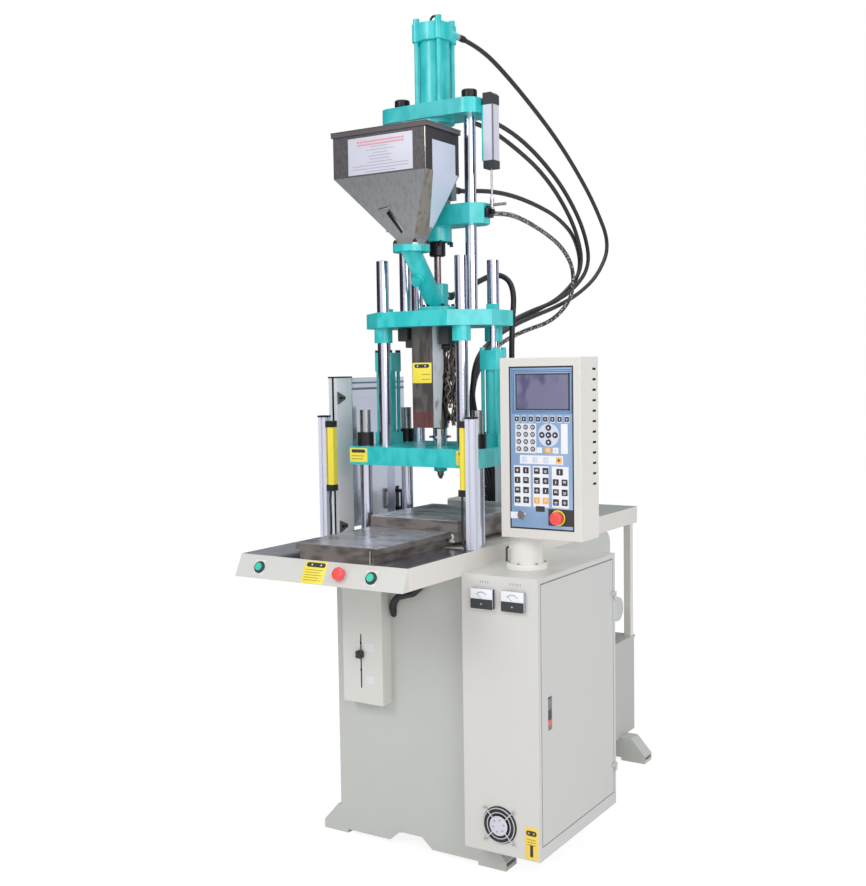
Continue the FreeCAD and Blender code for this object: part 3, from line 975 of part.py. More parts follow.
def top_plate():
    """Plate with round ends that carries the injection cylinder, and its gland flange below."""
    blank = box(-TOP_X, TOP_X, -TOP_Y, TOP_Y, TOP_BOTTOM, TOP_TOP)
    blank = rounded(blank, TOP_Y - 22, upright)
    gland = bar(TOP_TUBE_RADIUS + 14, 0, 0, TOP_BOTTOM - 12, TOP_BOTTOM)
    cuts = [bar(TALL_RADIUS - 5, side * TALL_X, 0, TOP_BOTTOM - 1, TOP_TOP + 1) for side in (-1, 1)]
    cuts.append(bar(PISTON_ROD_RADIUS + RUNNING, 0, 0, TOP_BOTTOM - 13, TOP_TOP + 1))
    return [fuse([blank, gland]).cut(cuts)]


def top_cylinder():
    """Injection cylinder: tube, four stay rods, lobed head with cap nuts and a lifting eye."""
    tube = bar(TOP_TUBE_RADIUS, 0, 0, TOP_TOP, TOP_TUBE_TOP)
    head = bar(TOP_HEAD_RADIUS - 6, 0, 0, TOP_TUBE_TOP, TOP_HEAD_TOP)
    pieces = [tube, head]
    for k in range(4):
        turn = math.radians(90.0 * k - 45.0)
        x, y = TOP_STAY_PCD / 2 * math.cos(turn), TOP_STAY_PCD / 2 * math.sin(turn)
        pieces.append(bar(TOP_STAY_RADIUS, x, y, TOP_TOP, TOP_TUBE_TOP))
        pieces.append(bar(TOP_LOBE, x, y, TOP_TUBE_TOP, TOP_HEAD_TOP))
        pieces.append(bar(TOP_LOBE - 4, x, y, TOP_HEAD_TOP, TOP_HEAD_TOP + TOP_CAP_HEIGHT))
    eye_z = TOP_HEAD_TOP + EYE_RADIUS + EYE_TUBE + 2
    eye = Part.makeTorus(EYE_RADIUS, EYE_TUBE, V(0, 0, eye_z), V(0, 1, 0))
    port_z = (TOP_TUBE_TOP + TOP_HEAD_TOP) / 2
    port = Part.makeCylinder(HOSE_UNION, TOP_PORT_REAR - 10, V(TOP_PORT_X, 10, port_z), V(0, 1, 0))
    pieces += [eye, port, bar(9, 0, 0, TOP_HEAD_TOP, TOP_HEAD_TOP + 5)]
    return [fuse(pieces).cut(bar(TOP_TUBE_BORE, 0, 0, TOP_TOP - 1, TOP_TUBE_TOP))]


def sensor_body():
    """Stroke sensor beside the top plate: square profile, black caps and the strip that holds it."""
    body = box(SENSOR_LEFT, SENSOR_RIGHT, -SENSOR_Y, SENSOR_Y, SENSOR_BOTTOM, SENSOR_TOP)
    caps = [box(SENSOR_LEFT - 1, SENSOR_RIGHT + 1, -SENSOR_Y - 1, SENSOR_Y + 1, SENSOR_BOTTOM - SENSOR_CAP_LOW,
                SENSOR_BOTTOM),
            box(SENSOR_LEFT - 1, SENSOR_RIGHT + 1, -SENSOR_Y - 1, SENSOR_Y + 1, SENSOR_TOP,
                SENSOR_TOP + SENSOR_CAP_HIGH)]
    caps[1] = bevelled(caps[1], 8, lambda e: e.BoundBox.YLength > 30 and e.BoundBox.XMin > SENSOR_RIGHT
                       and e.BoundBox.ZMin > SENSOR_TOP + SENSOR_CAP_HIGH - 1)
    strip = box(TOP_X, SENSOR_LEFT, -SENSOR_Y, SENSOR_Y, SENSOR_BOTTOM, SENSOR_TOP)
    bore = bar(SENSOR_ROD_RADIUS + RUNNING, SENSOR_ROD_X, 0, SENSOR_BOTTOM - SENSOR_CAP_LOW - 1, SENSOR_TOP - 20)
    return [fuse([body, strip] + caps).cut(bore)]


# ================================================================ crosshead body
def crosshead():
    """Injection crosshead: cast bridge on the tall rods with the adapter of the motor below."""
    x, y, c = CROSSHEAD_X, CROSSHEAD_Y, 34.0
    outline = [(-x + c, -y), (x - c, -y), (x, -y + c), (x, y - c), (x - c, y), (-x + c, y), (-x, y - c), (-x, -y + c)]
    bridge = prism(outline, "z", CROSSHEAD_BOTTOM, CROSSHEAD_TOP)
    adapter = bar(ADAPTER_RADIUS, 0, 0, ADAPTER_BOTTOM, CROSSHEAD_BOTTOM)
    screws = []
    for k in range(4):
        turn = math.radians(45.0 + 90.0 * k)
        screws.append(bar(6, (ADAPTER_RADIUS - 8) * math.cos(turn), (ADAPTER_RADIUS - 8) * math.sin(turn),
                          ADAPTER_BOTTOM - 8, ADAPTER_BOTTOM))
    head = fuse([bridge, adapter] + screws)
    cuts = [bar(TALL_RADIUS + RUNNING, side * TALL_X, 0, CROSSHEAD_BOTTOM - 1, CROSSHEAD_TOP + 1) for side in (-1, 1)]
    cuts.append(bar(SPIGOT_RADIUS + RUNNING, 0, 0, ADAPTER_BOTTOM - 1, SPIGOT_TOP + 2))
    return [head.cut(cuts)]


def screw_motor():
    """Oil motor that turns the screw, standing on the crosshead with its two ports to the right."""
    profile = [(0, CROSSHEAD_TOP), (MOTOR_RADIUS, CROSSHEAD_TOP), (MOTOR_RADIUS, CROSSHEAD_TOP + 22),
               (MOTOR_RADIUS - 8, CROSSHEAD_TOP + 26), (MOTOR_RADIUS - 8, CROSSHEAD_TOP + 96),
               (MOTOR_RADIUS, CROSSHEAD_TOP + 100), (MOTOR_RADIUS, MOTOR_TOP), (24, MOTOR_TOP), (24, MOTOR_NECK),
               (0, MOTOR_NECK)]
    wire = Part.makePolygon([V(r, 0, z) for r, z in profile + profile[:1]])
    motor = Part.Face(wire).revolve(V(0, 0, 0), UP, 360)
    ports = box(PORT_LEFT, PORT_RIGHT, 20, PORT_FACE, CROSSHEAD_TOP + 26, CROSSHEAD_TOP + 84)
    return [fuse([motor, ports])]


def piston_rod():
    """Injection piston and its rod, bolted to the top of the screw motor."""
    rod = bar(PISTON_ROD_RADIUS, 0, 0, MOTOR_NECK, PISTON_BOTTOM)
    piston = bar(TOP_TUBE_BORE - RUNNING, 0, 0, PISTON_BOTTOM, PISTON_TOP)
    return [fuse([rod, piston])]


def sensor_rod():
    """Sensor rod with its ball end, and the cross rod that stands out of the crosshead."""
    rod = bar(SENSOR_ROD_RADIUS, SENSOR_ROD_X, 0, SENSOR_ROD_BOTTOM, SENSOR_BOTTOM + 60)
    cross = Part.makeCylinder(5, 70, V(CROSSHEAD_X, 0, SENSOR_REST), V(1, 0, 0))
    joint = bar(7, SENSOR_ROD_X, 0, SENSOR_REST - 8, SENSOR_REST + 26)
    return [fuse([rod, cross, joint])]


def screw():
    """Plasticising screw with its flight, shank and the coupling under the motor adapter."""
    core = bar(SCREW_RADIUS * 0.72, 0, 0, SCREW_TIP, UPPER_TOP)
    tip = Part.makeCone(2, SCREW_RADIUS * 0.72, 24, V(0, 0, SCREW_TIP - 24))
    collar = bar(SHANK_RADIUS, 0, 0, UPPER_TOP, COUPLING_BOTTOM)
    coupling = bevelled(bar(COUPLING_RADIUS, 0, 0, COUPLING_BOTTOM, COUPLING_TOP), 3,
                        ring_edge_at(COUPLING_BOTTOM, COUPLING_RADIUS))
    spigot = bar(SPIGOT_RADIUS, 0, 0, COUPLING_TOP, SPIGOT_TOP)
    lands = [bar(SCREW_RADIUS, 0, 0, SCREW_TIP + k * FLIGHT_PITCH, SCREW_TIP + k * FLIGHT_PITCH + 4)
             for k in range(1, int((UPPER_BOTTOM - SCREW_TIP) / FLIGHT_PITCH))]
    return [fuse([core, tip, collar, coupling, spigot] + lands)]


# ================================================================ sliding table and small movers
def slide_block():
    """Sliding mould table: slab on the rail with a keeper down each side hooked under its edge."""
    slab = box(BLOCK_LEFT, BLOCK_RIGHT, BLOCK_FRONT, BLOCK_REAR, RAIL_TOP + 0.4, BLOCK_TOP)
    keepers = []
    for side, outer in ((-1, -BLOCK_LEFT), (1, BLOCK_RIGHT)):
        inner, hook = RAIL_HALF + SLIDE_GAP, RAIL_LOW_HALF + 3
        low, step = KEEPER_BOTTOM, RAIL_STEP - SLIDE_GAP
        outline = [(inner, RAIL_TOP + 0.4), (inner, step), (hook, step), (hook, low), (outer, low),
                   (outer, RAIL_TOP + 0.4)]
        keepers.append(prism([(side * x, z) for x, z in outline], "y", BLOCK_FRONT, BLOCK_REAR))
    block = fuse([slab] + keepers)
    holes = [bar(MOULD_BOLT, x, y, BLOCK_TOP - MOULD_BOLT_DEPTH, BLOCK_TOP + 1)
             for x, y in four(MOULD_PITCH_X / 2, MOULD_PITCH_Y / 2)]
    return [block.cut(holes)]


def guard_door():
    """Left guard door: framed sheet on two hinges with a bow handle near its rear edge."""
    y0, y1 = GUARD_POST_REAR + DOOR_GAP, GUARD_REAR
    x0, x1 = GUARD_LEFT, GUARD_LEFT + GUARD_THICK
    blank = box(x0, x1, y0, y1, GUARD_LOW, GUARD_HIGH)
    rooms = [box(x0 - 1, x0 + 12, y0 + 24, y1 - GUARD_STILE, GUARD_LOW + 14, GUARD_HIGH - GUARD_BEAM),
             box(x0 + 12 + SHEET, x1 + 1, y0 + 24, y1 - GUARD_STILE, GUARD_LOW + 14, GUARD_HIGH - GUARD_BEAM)]
    blank = blank.cut(rooms)
    pieces = [blank]
    for z in HINGE_Z:
        barrel = bar(GUARD_BARREL, GUARD_PIN_X, GUARD_PIN_Y, z + GUARD_LEAF + 0.5, z + 2 * GUARD_LEAF)
        leaf = box(GUARD_LEFT - 4, GUARD_LEFT, GUARD_PIN_Y, GUARD_PIN_Y + 30, z + GUARD_LEAF + 0.5, z + 2 * GUARD_LEAF)
        pieces.append(fuse([leaf, barrel]))
    bow = box(x1, x1 + GUARD_HANDLE_OUT, GUARD_HANDLE_Y - 6, GUARD_HANDLE_Y + 6, GUARD_HANDLE_LOW, GUARD_HANDLE_HIGH)
    bow = bow.cut(box(x1 - 1, x1 + GUARD_HANDLE_OUT - 10, GUARD_HANDLE_Y - 7, GUARD_HANDLE_Y + 7,
                      GUARD_HANDLE_LOW + 12, GUARD_HANDLE_HIGH - 12))
    door = fuse(pieces + [bow])
    bores = [bar(GUARD_PIN + RUNNING, GUARD_PIN_X, GUARD_PIN_Y, z + GUARD_LEAF, z + 2 * GUARD_LEAF + 1)
             for z in HINGE_Z]
    clears = [bar(GUARD_BARREL + 0.5, GUARD_PIN_X, GUARD_PIN_Y, z - 0.5, z + GUARD_LEAF + 0.5) for z in HINGE_Z]
    return [door.cut(bores + clears)]


def pendant():
    """Control pendant: deep sheet box with a sunk key panel, framed screen, side slots and a stub."""
    case = box(PENDANT_LEFT, PENDANT_RIGHT, PENDANT_FRONT, PENDANT_BACK, PENDANT_BOTTOM, PENDANT_TOP)
    case = rounded(case, 3, lambda e: e.BoundBox.YMax < PENDANT_FRONT + 1 and e.BoundBox.YLength < 1e-6)
    sink = box(PANEL_LEFT, PANEL_RIGHT, PENDANT_FRONT - 1, PENDANT_FRONT + PANEL_SINK, PANEL_LOW, PANEL_HIGH)
    screen = box(SCREEN_LEFT, SCREEN_RIGHT, PENDANT_FRONT, PENDANT_FRONT + PANEL_SINK + SCREEN_SINK, SCREEN_LOW,
                 SCREEN_HIGH)
    vents = [box(PENDANT_RIGHT - 4, PENDANT_RIGHT + 1, VENT_Y - VENT_LENGTH / 2, VENT_Y + VENT_LENGTH / 2,
                 VENT_HIGH - k * VENT_STEP - VENT_HEIGHT, VENT_HIGH - k * VENT_STEP) for k in range(VENT_COUNT)]
    stub = bar(COLUMN_BORE - RUNNING, COLUMN_X, COLUMN_Y, PENDANT_STUB, PENDANT_BOTTOM)
    back = V(0, 1, 0)
    wells = [Part.makeCylinder(ESTOP_NECK + 0.5, PANEL_SINK + STOP_TAIL + ESTOP_TRAVEL + 3,
                               V(PENDANT_ESTOP_X, PENDANT_FRONT - 1, PENDANT_ESTOP_Z), back),
             Part.makeCylinder(KEY_RADIUS - 3 + 0.3, 14, V(KEY_X, PENDANT_FRONT - 1, KEY_Z), back)]
    return [fuse([case.cut([sink, screen] + vents + wells), stub])]


def mushroom(radius, neck, travel):
    """Emergency stop: domed mushroom head on its neck, standing on the plane z = 0."""
    low, high = travel + 3, travel + ESTOP_HEIGHT
    head = rounded(bar(radius, 0, 0, low, high), ESTOP_EDGE, ring_edge_at(high, radius))
    return fuse([head, bar(neck, 0, 0, -STOP_TAIL, low)])


def placed(solid, placement):
    """Copy of a solid moved to a placement."""
    copy = solid.copy()
    copy.Placement = placement
    return copy


def pendant_estop():
    at = FreeCAD.Placement(V(PENDANT_ESTOP_X, PENDANT_FRONT + PANEL_SINK, PENDANT_ESTOP_Z),
                           FreeCAD.Rotation(UP, V(0, -1, 0)))
    return [placed(mushroom(ESTOP_RADIUS, ESTOP_NECK, ESTOP_TRAVEL), at)]


def table_estop():
    return [placed(mushroom(ESTOP_RADIUS, BUTTON_STEM, ESTOP_TRAVEL), fascia_place(TABLE_ESTOP_X))]


def push_button():
    """Green push-button: a cap on its stem, standing on the plane z = 0."""
    cap = Part.makeCylinder(BUTTON_RADIUS, 6, V(0, 0, BUTTON_TRAVEL + 0.5))
    stem = Part.makeCylinder(BUTTON_STEM, BUTTON_TRAVEL + 12, V(0, 0, -10))
    return fuse([cap, stem])


def button_left():
    return [placed(push_button(), fascia_place(BUTTON_LEFT_X))]


def button_right():
    return [placed(push_button(), fascia_place(BUTTON_RIGHT_X))]


def key_switch():
    """Key lock on the pendant: round plug with a raised grip bar."""
    y = PENDANT_FRONT + PANEL_SINK
    stem = Part.makeCylinder(KEY_RADIUS - 3, 8, V(KEY_X, y, KEY_Z), V(0, 1, 0))
    face = Part.makeCylinder(KEY_RADIUS, 4, V(KEY_X, y - 4.3, KEY_Z), V(0, 1, 0))
    neck = Part.makeCylinder(KEY_RADIUS - 3, 0.5, V(KEY_X, y - 0.4, KEY_Z), V(0, 1, 0))
    grip = box(KEY_X - 2, KEY_X + 2, y - 16, y - 4, KEY_Z - 9, KEY_Z + 9)
    return [fuse([stem, face, neck, grip])]


def clamp_knob():
    """Lobed clamp knob of the slot box, on a stem through the slot."""
    front = BODY_FRONT - SLOT_BOX_DEPTH
    lobes = []
    seat = front - 0.3
    for k in range(4):
        turn = math.radians(45.0 + 90.0 * k)
        at = V(SLOT_X + KNOB_PCD / 2 * math.cos(turn), seat, KNOB_Z + KNOB_PCD / 2 * math.sin(turn))
        lobes.append(Part.makeCylinder(KNOB_LOBE, KNOB_THICK, at, V(0, -1, 0)))
    hub = Part.makeCylinder(KNOB_PCD / 2, KNOB_THICK + 3, V(SLOT_X, seat, KNOB_Z), V(0, -1, 0))
    stem = Part.makeCylinder(SLOT_WIDTH / 2 - 0.3, SHEET + 6, V(SLOT_X, seat, KNOB_Z), V(0, 1, 0))
    washer = Part.makeCylinder(SLOT_WIDTH, 3, V(SLOT_X, front + SHEET + 0.3, KNOB_Z), V(0, 1, 0))
    return [fuse([hub, stem, washer] + lobes)]


# ================================================================ hoses
def hose(radius, points):
    """Tube along straight runs that are joined by tangent arcs.

    Each arc's radius is 0.45 of the shorter run beside it over the tangent of half the turn.
    """
    points = [V(*p) for p in points]
    edges, at = [], points[0]
    for before, corner, after in zip(points, points[1:], points[2:]):
        inward, outward = (corner - before), (after - corner)
        reach = 0.45 * min(inward.Length, outward.Length)
        turn = inward.getAngle(outward)
        bend = reach / math.tan(turn / 2)
        u, v = V(inward).normalize(), V(outward).normalize()
        first, last = corner - u * reach, corner + v * reach
        chord = (first + last) * 0.5
        bow = bend / math.cos(turn / 2) - bend
        middle = corner + (chord - corner).normalize() * bow
        edges.append(Part.LineSegment(at, first).toShape())
        edges.append(Part.Arc(first, middle, last).toShape())
        at = last
    edges.append(Part.LineSegment(at, points[-1]).toShape())
    path = Part.Wire(edges)
    start = Part.Wire(Part.makeCircle(radius, points[0], points[1] - points[0]))
    tube = path.makePipeShell([start], True, False)
    return [tube]


# ================================================================ write out
PLAN_X = (GUARD_LEFT - 4 - GUARD_BARREL + PENDANT_RIGHT) / 2
ESTOP_FRONT = ((fascia_place(0).Base + FASCIA_OUT * (ESTOP_TRAVEL + ESTOP_HEIGHT - ESTOP_EDGE)).y
               - (ESTOP_RADIUS - ESTOP_EDGE) * FASCIA_OUT.z - ESTOP_EDGE)
PLAN_Y = (ESTOP_FRONT + TABLE_REAR) / 2

BUILDERS = [floor_beams, body_frame, oil_tank, table_frame, worktop_sheet, fixed_platen, clamp_cylinder,
            slide_rail, slot_box, curtain_posts, curtain_units, guard_post, electric_cabinet, panel_meters,
            fan_guard, pendant_column, pump_motor, valve_cover, middle_platen, tie_bars, guide_rods,
            lower_yoke, clamp_ram, lift_cylinders, upper_plate, lift_rods, barrel, heater_bands,
            barrel_cover, feed_throat, hopper, tall_rods, top_plate, top_cylinder, sensor_body, crosshead,
            screw_motor, piston_rod, sensor_rod, screw, slide_block, hopper_lid, cabinet_door,
            cabinet_latch, guard_door, pendant, pendant_estop, table_estop, button_left, button_right,
            key_switch, lock_lever, fan_rotor, clamp_knob]


def write(name, solids):
    """Move a piece to the middle of the plan and write it as parts/NAME.step."""
    shape = solids[0] if len(solids) == 1 else Part.makeCompound(solids)
    shape = shape.copy()
    shape.translate(V(-PLAN_X, -PLAN_Y, 0))
    if not shape.isValid() or any(s.Volume <= 0 for s in shape.Solids) or not shape.Solids:
        print("BAD", name, shape.isValid(), len(shape.Solids))
    shape.exportStep(os.path.join("parts", name + ".step"))
    return len(shape.Solids), shape.Volume


def main():
    os.makedirs("parts", exist_ok=True)
    print("plan centre", round(PLAN_X, 3), round(PLAN_Y, 3))
    for builder in BUILDERS:
        solids, volume = write(builder.__name__, builder())
        print(builder.__name__, solids, round(volume / 1e6, 3))
    for name, (radius, points) in HOSES.items():
        print(name, write(name, hose(radius, points)))


main()
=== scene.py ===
"""Looks of the vertical injection moulding machine: its finishes, hoses, panels and small parts.

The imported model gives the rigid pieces. Places here are in millimetres from the screw's foot on the floor,
as in the part's source, and become metres from the middle of the plan when a piece is made.
"""

import logging
import math
from dataclasses import dataclass
from enum import Enum
from typing import Callable, Sequence, Union

import bmesh
import bpy
from mathutils import Matrix, Vector

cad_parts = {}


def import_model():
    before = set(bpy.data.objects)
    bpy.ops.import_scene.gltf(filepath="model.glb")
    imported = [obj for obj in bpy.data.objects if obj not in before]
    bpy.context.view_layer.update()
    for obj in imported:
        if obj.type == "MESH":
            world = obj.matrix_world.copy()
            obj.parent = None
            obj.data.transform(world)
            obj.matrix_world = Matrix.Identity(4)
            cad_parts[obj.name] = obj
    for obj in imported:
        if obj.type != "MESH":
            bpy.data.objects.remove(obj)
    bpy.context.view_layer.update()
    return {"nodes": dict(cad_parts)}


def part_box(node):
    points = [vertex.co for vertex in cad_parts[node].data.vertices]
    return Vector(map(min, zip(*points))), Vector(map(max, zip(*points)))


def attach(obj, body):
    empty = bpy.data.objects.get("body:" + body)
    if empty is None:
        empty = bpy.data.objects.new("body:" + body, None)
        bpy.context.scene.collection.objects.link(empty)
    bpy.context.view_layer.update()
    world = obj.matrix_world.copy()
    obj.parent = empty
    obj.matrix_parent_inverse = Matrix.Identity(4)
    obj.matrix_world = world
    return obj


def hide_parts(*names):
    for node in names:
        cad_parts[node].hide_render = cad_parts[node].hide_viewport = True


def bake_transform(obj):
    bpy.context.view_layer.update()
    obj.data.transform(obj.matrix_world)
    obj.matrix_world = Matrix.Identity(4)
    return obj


LOG = logging.getLogger("machine")
METRES = 0.001
PLAN_X, PLAN_Y = 115.5, 226.385     # from the screw's axis to the middle of the plan
BEVEL_STEPS = 2
SHARP = math.radians(35)            # edges that turn more than this are shaded sharp
MIDDLE = (0.0, 0.0, 0.0)
UPWARDS = (0.0, 0.0, 1.0)
BACKWARDS = (0.0, 1.0, 0.0)
FORWARDS = (0.0, -1.0, 0.0)
LAMP_AIM = (0.0, 0.0, 1.3)          # the machine's middle, in metres

Point = tuple[float, float, float]
Range = tuple[float, float]
Colour = tuple[int, int, int]
Value = Union[float, "Sock"]
Nodes = dict[str, bpy.types.Object]


def at(x: float, y: float, z: float) -> Vector:
    """Place in metres in the frame of a point given from the screw's foot."""
    return Vector((x - PLAN_X, y - PLAN_Y, z)) * METRES


class Body(Enum):
    """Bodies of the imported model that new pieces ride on."""

    FRAME = "frame"
    CLAMP = "clamp"
    CARRIAGE = "carriage"
    CROSSHEAD = "crosshead"
    TABLE = "mould_table"
    LID = "lid"
    PENDANT = "pendant"


class Facing(Enum):
    """Side that a plate looks to; its outline lies in the two other axes."""

    FRONT = "front"
    RIGHT = "right"


# ================================================================ shader maths
def operator(kind: str, flipped: bool = False) -> Callable[["Sock", Value], "Sock"]:
    """Make an operator of Sock.

    Args:
        kind: name of the Math node's operation.
        flipped: whether self is its second value.

    Returns:
        A method that adds the Math node.
    """
    def method(self: "Sock", other: Value) -> "Sock":
        """Result of the operation on self and other."""
        first, second = (other, self) if flipped else (self, other)
        return self.tree.node("ShaderNodeMath", {"operation": kind}, {0: first, 1: second})
    return method


class Sock:
    """Output socket of a shader node; arithmetic on it adds Math nodes."""

    __add__, __radd__ = operator("ADD"), operator("ADD", True)
    __sub__, __rsub__ = operator("SUBTRACT"), operator("SUBTRACT", True)
    __mul__, __rmul__ = operator("MULTIPLY"), operator("MULTIPLY", True)
    __mod__, __rmod__ = operator("FLOORED_MODULO"), operator("FLOORED_MODULO", True)

    def __init__(self, tree: "Tree", socket: bpy.types.NodeSocket) -> None:
        """Keep the tree and the socket that this value stands for."""
        self.tree = tree
        self.socket = socket

    def step(self, edge: float, soft: float) -> "Sock":
        """0 below an edge and 1 above it, with a smooth change across soft millimetres."""
        return self.tree.node("ShaderNodeMapRange", {"interpolation_type": "SMOOTHSTEP", "clamp": True},
                              {"Value": self, "From Min": edge - soft / 2, "From Max": edge + soft / 2})


class Tree:
    """Node tree of a material or the world, emptied but for its output."""

    def __init__(self, holder: Union[bpy.types.Material, bpy.types.World], output: str) -> None:
        """Empty the tree and add its output.

        Args:
            holder: what the tree belongs to.
            output: type of the output node.
        """
        holder.use_nodes = True
        self.nodes = holder.node_tree.nodes
        self.links = holder.node_tree.links
        self.nodes.clear()
        self.output = self.nodes.new(output)

    def node(self, kind: str, settings: dict, inputs: dict, output: Union[int, str] = 0) -> Sock:
        """Add a node.

        Args:
            kind: the node's type.
            settings: its properties, set before its sockets.
            inputs: values or links by socket name or number.
            output: name or number of the wanted output.

        Returns:
            That output.
        """
        made = self.nodes.new(kind)
        for name, value in settings.items():
            setattr(made, name, value)
        for name, value in inputs.items():
            if isinstance(value, Sock):
                self.links.new(value.socket, made.inputs[name])
            else:
                made.inputs[name].default_value = value
        return Sock(self, made.outputs[output])

    def end(self, shader: Sock) -> None:
        """Link the shader to the output."""
        self.links.new(shader.socket, self.output.inputs[0])


class Surface(Tree):
    """Tree of one material, read on Object coordinates in millimetres from the screw's foot."""

    def __init__(self, material: bpy.types.Material) -> None:
        """Empty the tree and add its coordinates.

        Args:
            material: what the tree belongs to.
        """
        super().__init__(material, "ShaderNodeOutputMaterial")
        place = self.node("ShaderNodeTexCoord", {}, {}, "Object")
        place = self.vector("MULTIPLY", place, (1 / METRES,) * 3)
        self.place = self.vector("ADD", place, (PLAN_X, PLAN_Y, 0.0))
        split = self.node("ShaderNodeSeparateXYZ", {}, {0: self.place}).socket.node
        self.x, self.y, self.z = (Sock(self, split.outputs[i]) for i in range(3))

    def vector(self, operation: str, first: Union[Sock, Point], second: Union[Sock, Point]) -> Sock:
        """Vector Math on two vectors."""
        return self.node("ShaderNodeVectorMath", {"operation": operation}, {0: first, 1: second})

    def mix(self, factor: Value, low: Union[Sock, tuple], high: Union[Sock, tuple]) -> Sock:
        """Colour between low, at factor 0, and high, at factor 1."""
        return self.node("ShaderNodeMix", {"data_type": "RGBA"}, {0: factor, 6: low, 7: high}, 2)

    def noise(self, size: float, stretch: Point = (1.0, 1.0, 1.0), detail: float = 2.0) -> Sock:
        """Cloudy value from 0 to 1.

        Args:
            size: size of the clouds in millimetres.
            stretch: how many times longer the clouds are along each axis.
            detail: octaves of finer clouds.

        Returns:
            The value.
        """
        scale = tuple(1.0 / (size * s) for s in stretch)
        where = self.vector("MULTIPLY", self.place, scale)
        return self.node("ShaderNodeTexNoise", {}, {"Vector": where, "Scale": 1.0, "Detail": detail})


def linear(colour: Colour, shade: float = 1.0) -> tuple[float, float, float, float]:
    """Scene-linear colour of an sRGB one.

    Args:
        colour: red, green and blue from 0 to 255.
        shade: factor on the result.

    Returns:
        Four channels, alpha 1.
    """
    parts = []
    for channel in colour:
        c = channel / 255.0
        c = c / 12.92 if c <= 0.04045 else ((c + 0.055) / 1.055) ** 2.4
        parts.append(min(1.0, c * shade))
    return parts[0], parts[1], parts[2], 1.0


def blended(mask: Value, low: Value, high: Value) -> Value:
    """Number between two others; plain where both are the same number.

    Args:
        mask: where it is between them, from 0 to 1.
        low: the value at 0.
        high: the value at 1.

    Returns:
        The value between.
    """
    if not isinstance(low, Sock) and not isinstance(high, Sock) and low == high:
        return low
    return low + (high - low) * mask


# ================================================================ finishes
@dataclass(frozen=True)
class Channels:
    """What a finish gives the shader; relief is a height in millimetres."""

    colour: Sock
    rough: Sock
    metal: Value
    relief: Sock


@dataclass(frozen=True)
class Finish:
    """Paint, metal or plastic with its slight unevenness; sizes in millimetres."""

    colour: Colour
    rough: float
    metal: float = 0.0
    mottle: float = 0.06        # share by which the tone wanders
    patch: float = 90.0         # size of the patches of tone
    smudge: float = 0.08        # how far the roughness wanders
    grain: float = 0.01         # height of the fine relief
    pitch: float = 2.0          # size of the fine relief
    stretch: Point = (1.0, 1.0, 1.0)    # brushing: the relief is longer along this axis

    def channels(self, tree: Surface) -> Channels:
        """Add this finish's nodes to a tree.

        Args:
            tree: the material's tree.

        Returns:
            What the finish gives the shader.
        """
        cloud = tree.noise(self.patch, self.stretch, 3.0)
        fine = tree.noise(self.pitch, self.stretch)
        tone = cloud * 0.7 + fine * 0.3
        colour = tree.mix(tone, linear(self.colour, 1 - self.mottle), linear(self.colour, 1 + self.mottle))
        return Channels(colour, (cloud - 0.5) * self.smudge + self.rough, self.metal, fine * self.grain)


@dataclass(frozen=True)
class ReflectionBanded(Finish):
    """Metal or cast paint with long soft bands of a second tone: painted reflections of a workshop."""

    # tone of the painted reflection bands
    second: Colour = (60, 60, 62)
    band: float = 60.0          # width of the painted reflection bands
    along: Point = (1.0, 1.0, 6.0)      # how many times longer they are along each axis
    share: float = 0.5          # how much of the surface the second tone takes

    def channels(self, tree: Surface) -> Channels:
        """Add this finish's nodes to a tree.

        Args:
            tree: the material's tree.

        Returns:
            What the finish gives the shader.
        """
        base = super().channels(tree)
        bands = tree.noise(self.band, self.along, 1.0).step(1 - self.share, 0.22)
        colour = tree.mix(bands, base.colour, linear(self.second))
        return Channels(colour, base.rough, base.metal, base.relief)


@dataclass(frozen=True)
class Braided(Finish):
    """Braided sleeve: dark rubber with pale flecks of wire at the crossings."""

    fleck: Colour = (196, 198, 196)
    cell: float = 9.0

    def channels(self, tree: Surface) -> Channels:
        """Add this finish's nodes to a tree.

        Args:
            tree: the material's tree.

        Returns:
            What the finish gives the shader.
        """
        base = super().channels(tree)
        cells = tree.node("ShaderNodeTexVoronoi", {"feature": "F1"},
                          {"Vector": tree.vector("MULTIPLY", tree.place, (1 / self.cell,) * 3), "Scale": 1.0})
        flecks = 1.0 - cells.step(0.34, 0.16)
        return Channels(tree.mix(flecks, base.colour, linear(self.fleck)), base.rough, base.metal,
                        base.relief + flecks * 0.4)


@dataclass(frozen=True)
class Zone:
    """Box of a piece with a finish of its own; an axis left out is unbounded."""

    finish: Finish
    x: Union[Range, None] = None
    y: Union[Range, None] = None
    z: Union[Range, None] = None
    soft: float = 0.2
    # (a, b, c, d): only where ax + by + cz is over d
    cuts: tuple[tuple[float, float, float, float], ...] = ()
    rows: Range = (0.0, 0.0)    # pitch and height of rows that repeat up from z's start

    def mask(self, tree: Surface) -> Value:
        """Mask of the box.

        Args:
            tree: the material's tree.

        Returns:
            1 inside the box and 0 outside it.
        """
        mask: Value = 1.0
        for coordinate, span in ((tree.x, self.x), (tree.y, self.y), (tree.z, self.z)):
            if span is not None:
                inside = coordinate.step(span[0], self.soft) * (1.0 - coordinate.step(span[1], self.soft))
                mask = inside if isinstance(mask, float) else mask * inside
        for a, b, c, d in self.cuts:
            mask = mask * (tree.x * a + tree.y * b + tree.z * c).step(d, self.soft)
        if self.rows[0]:
            mask = mask * (1.0 - ((tree.z - self.z[0]) % self.rows[0]).step(self.rows[1], self.soft))
        return mask


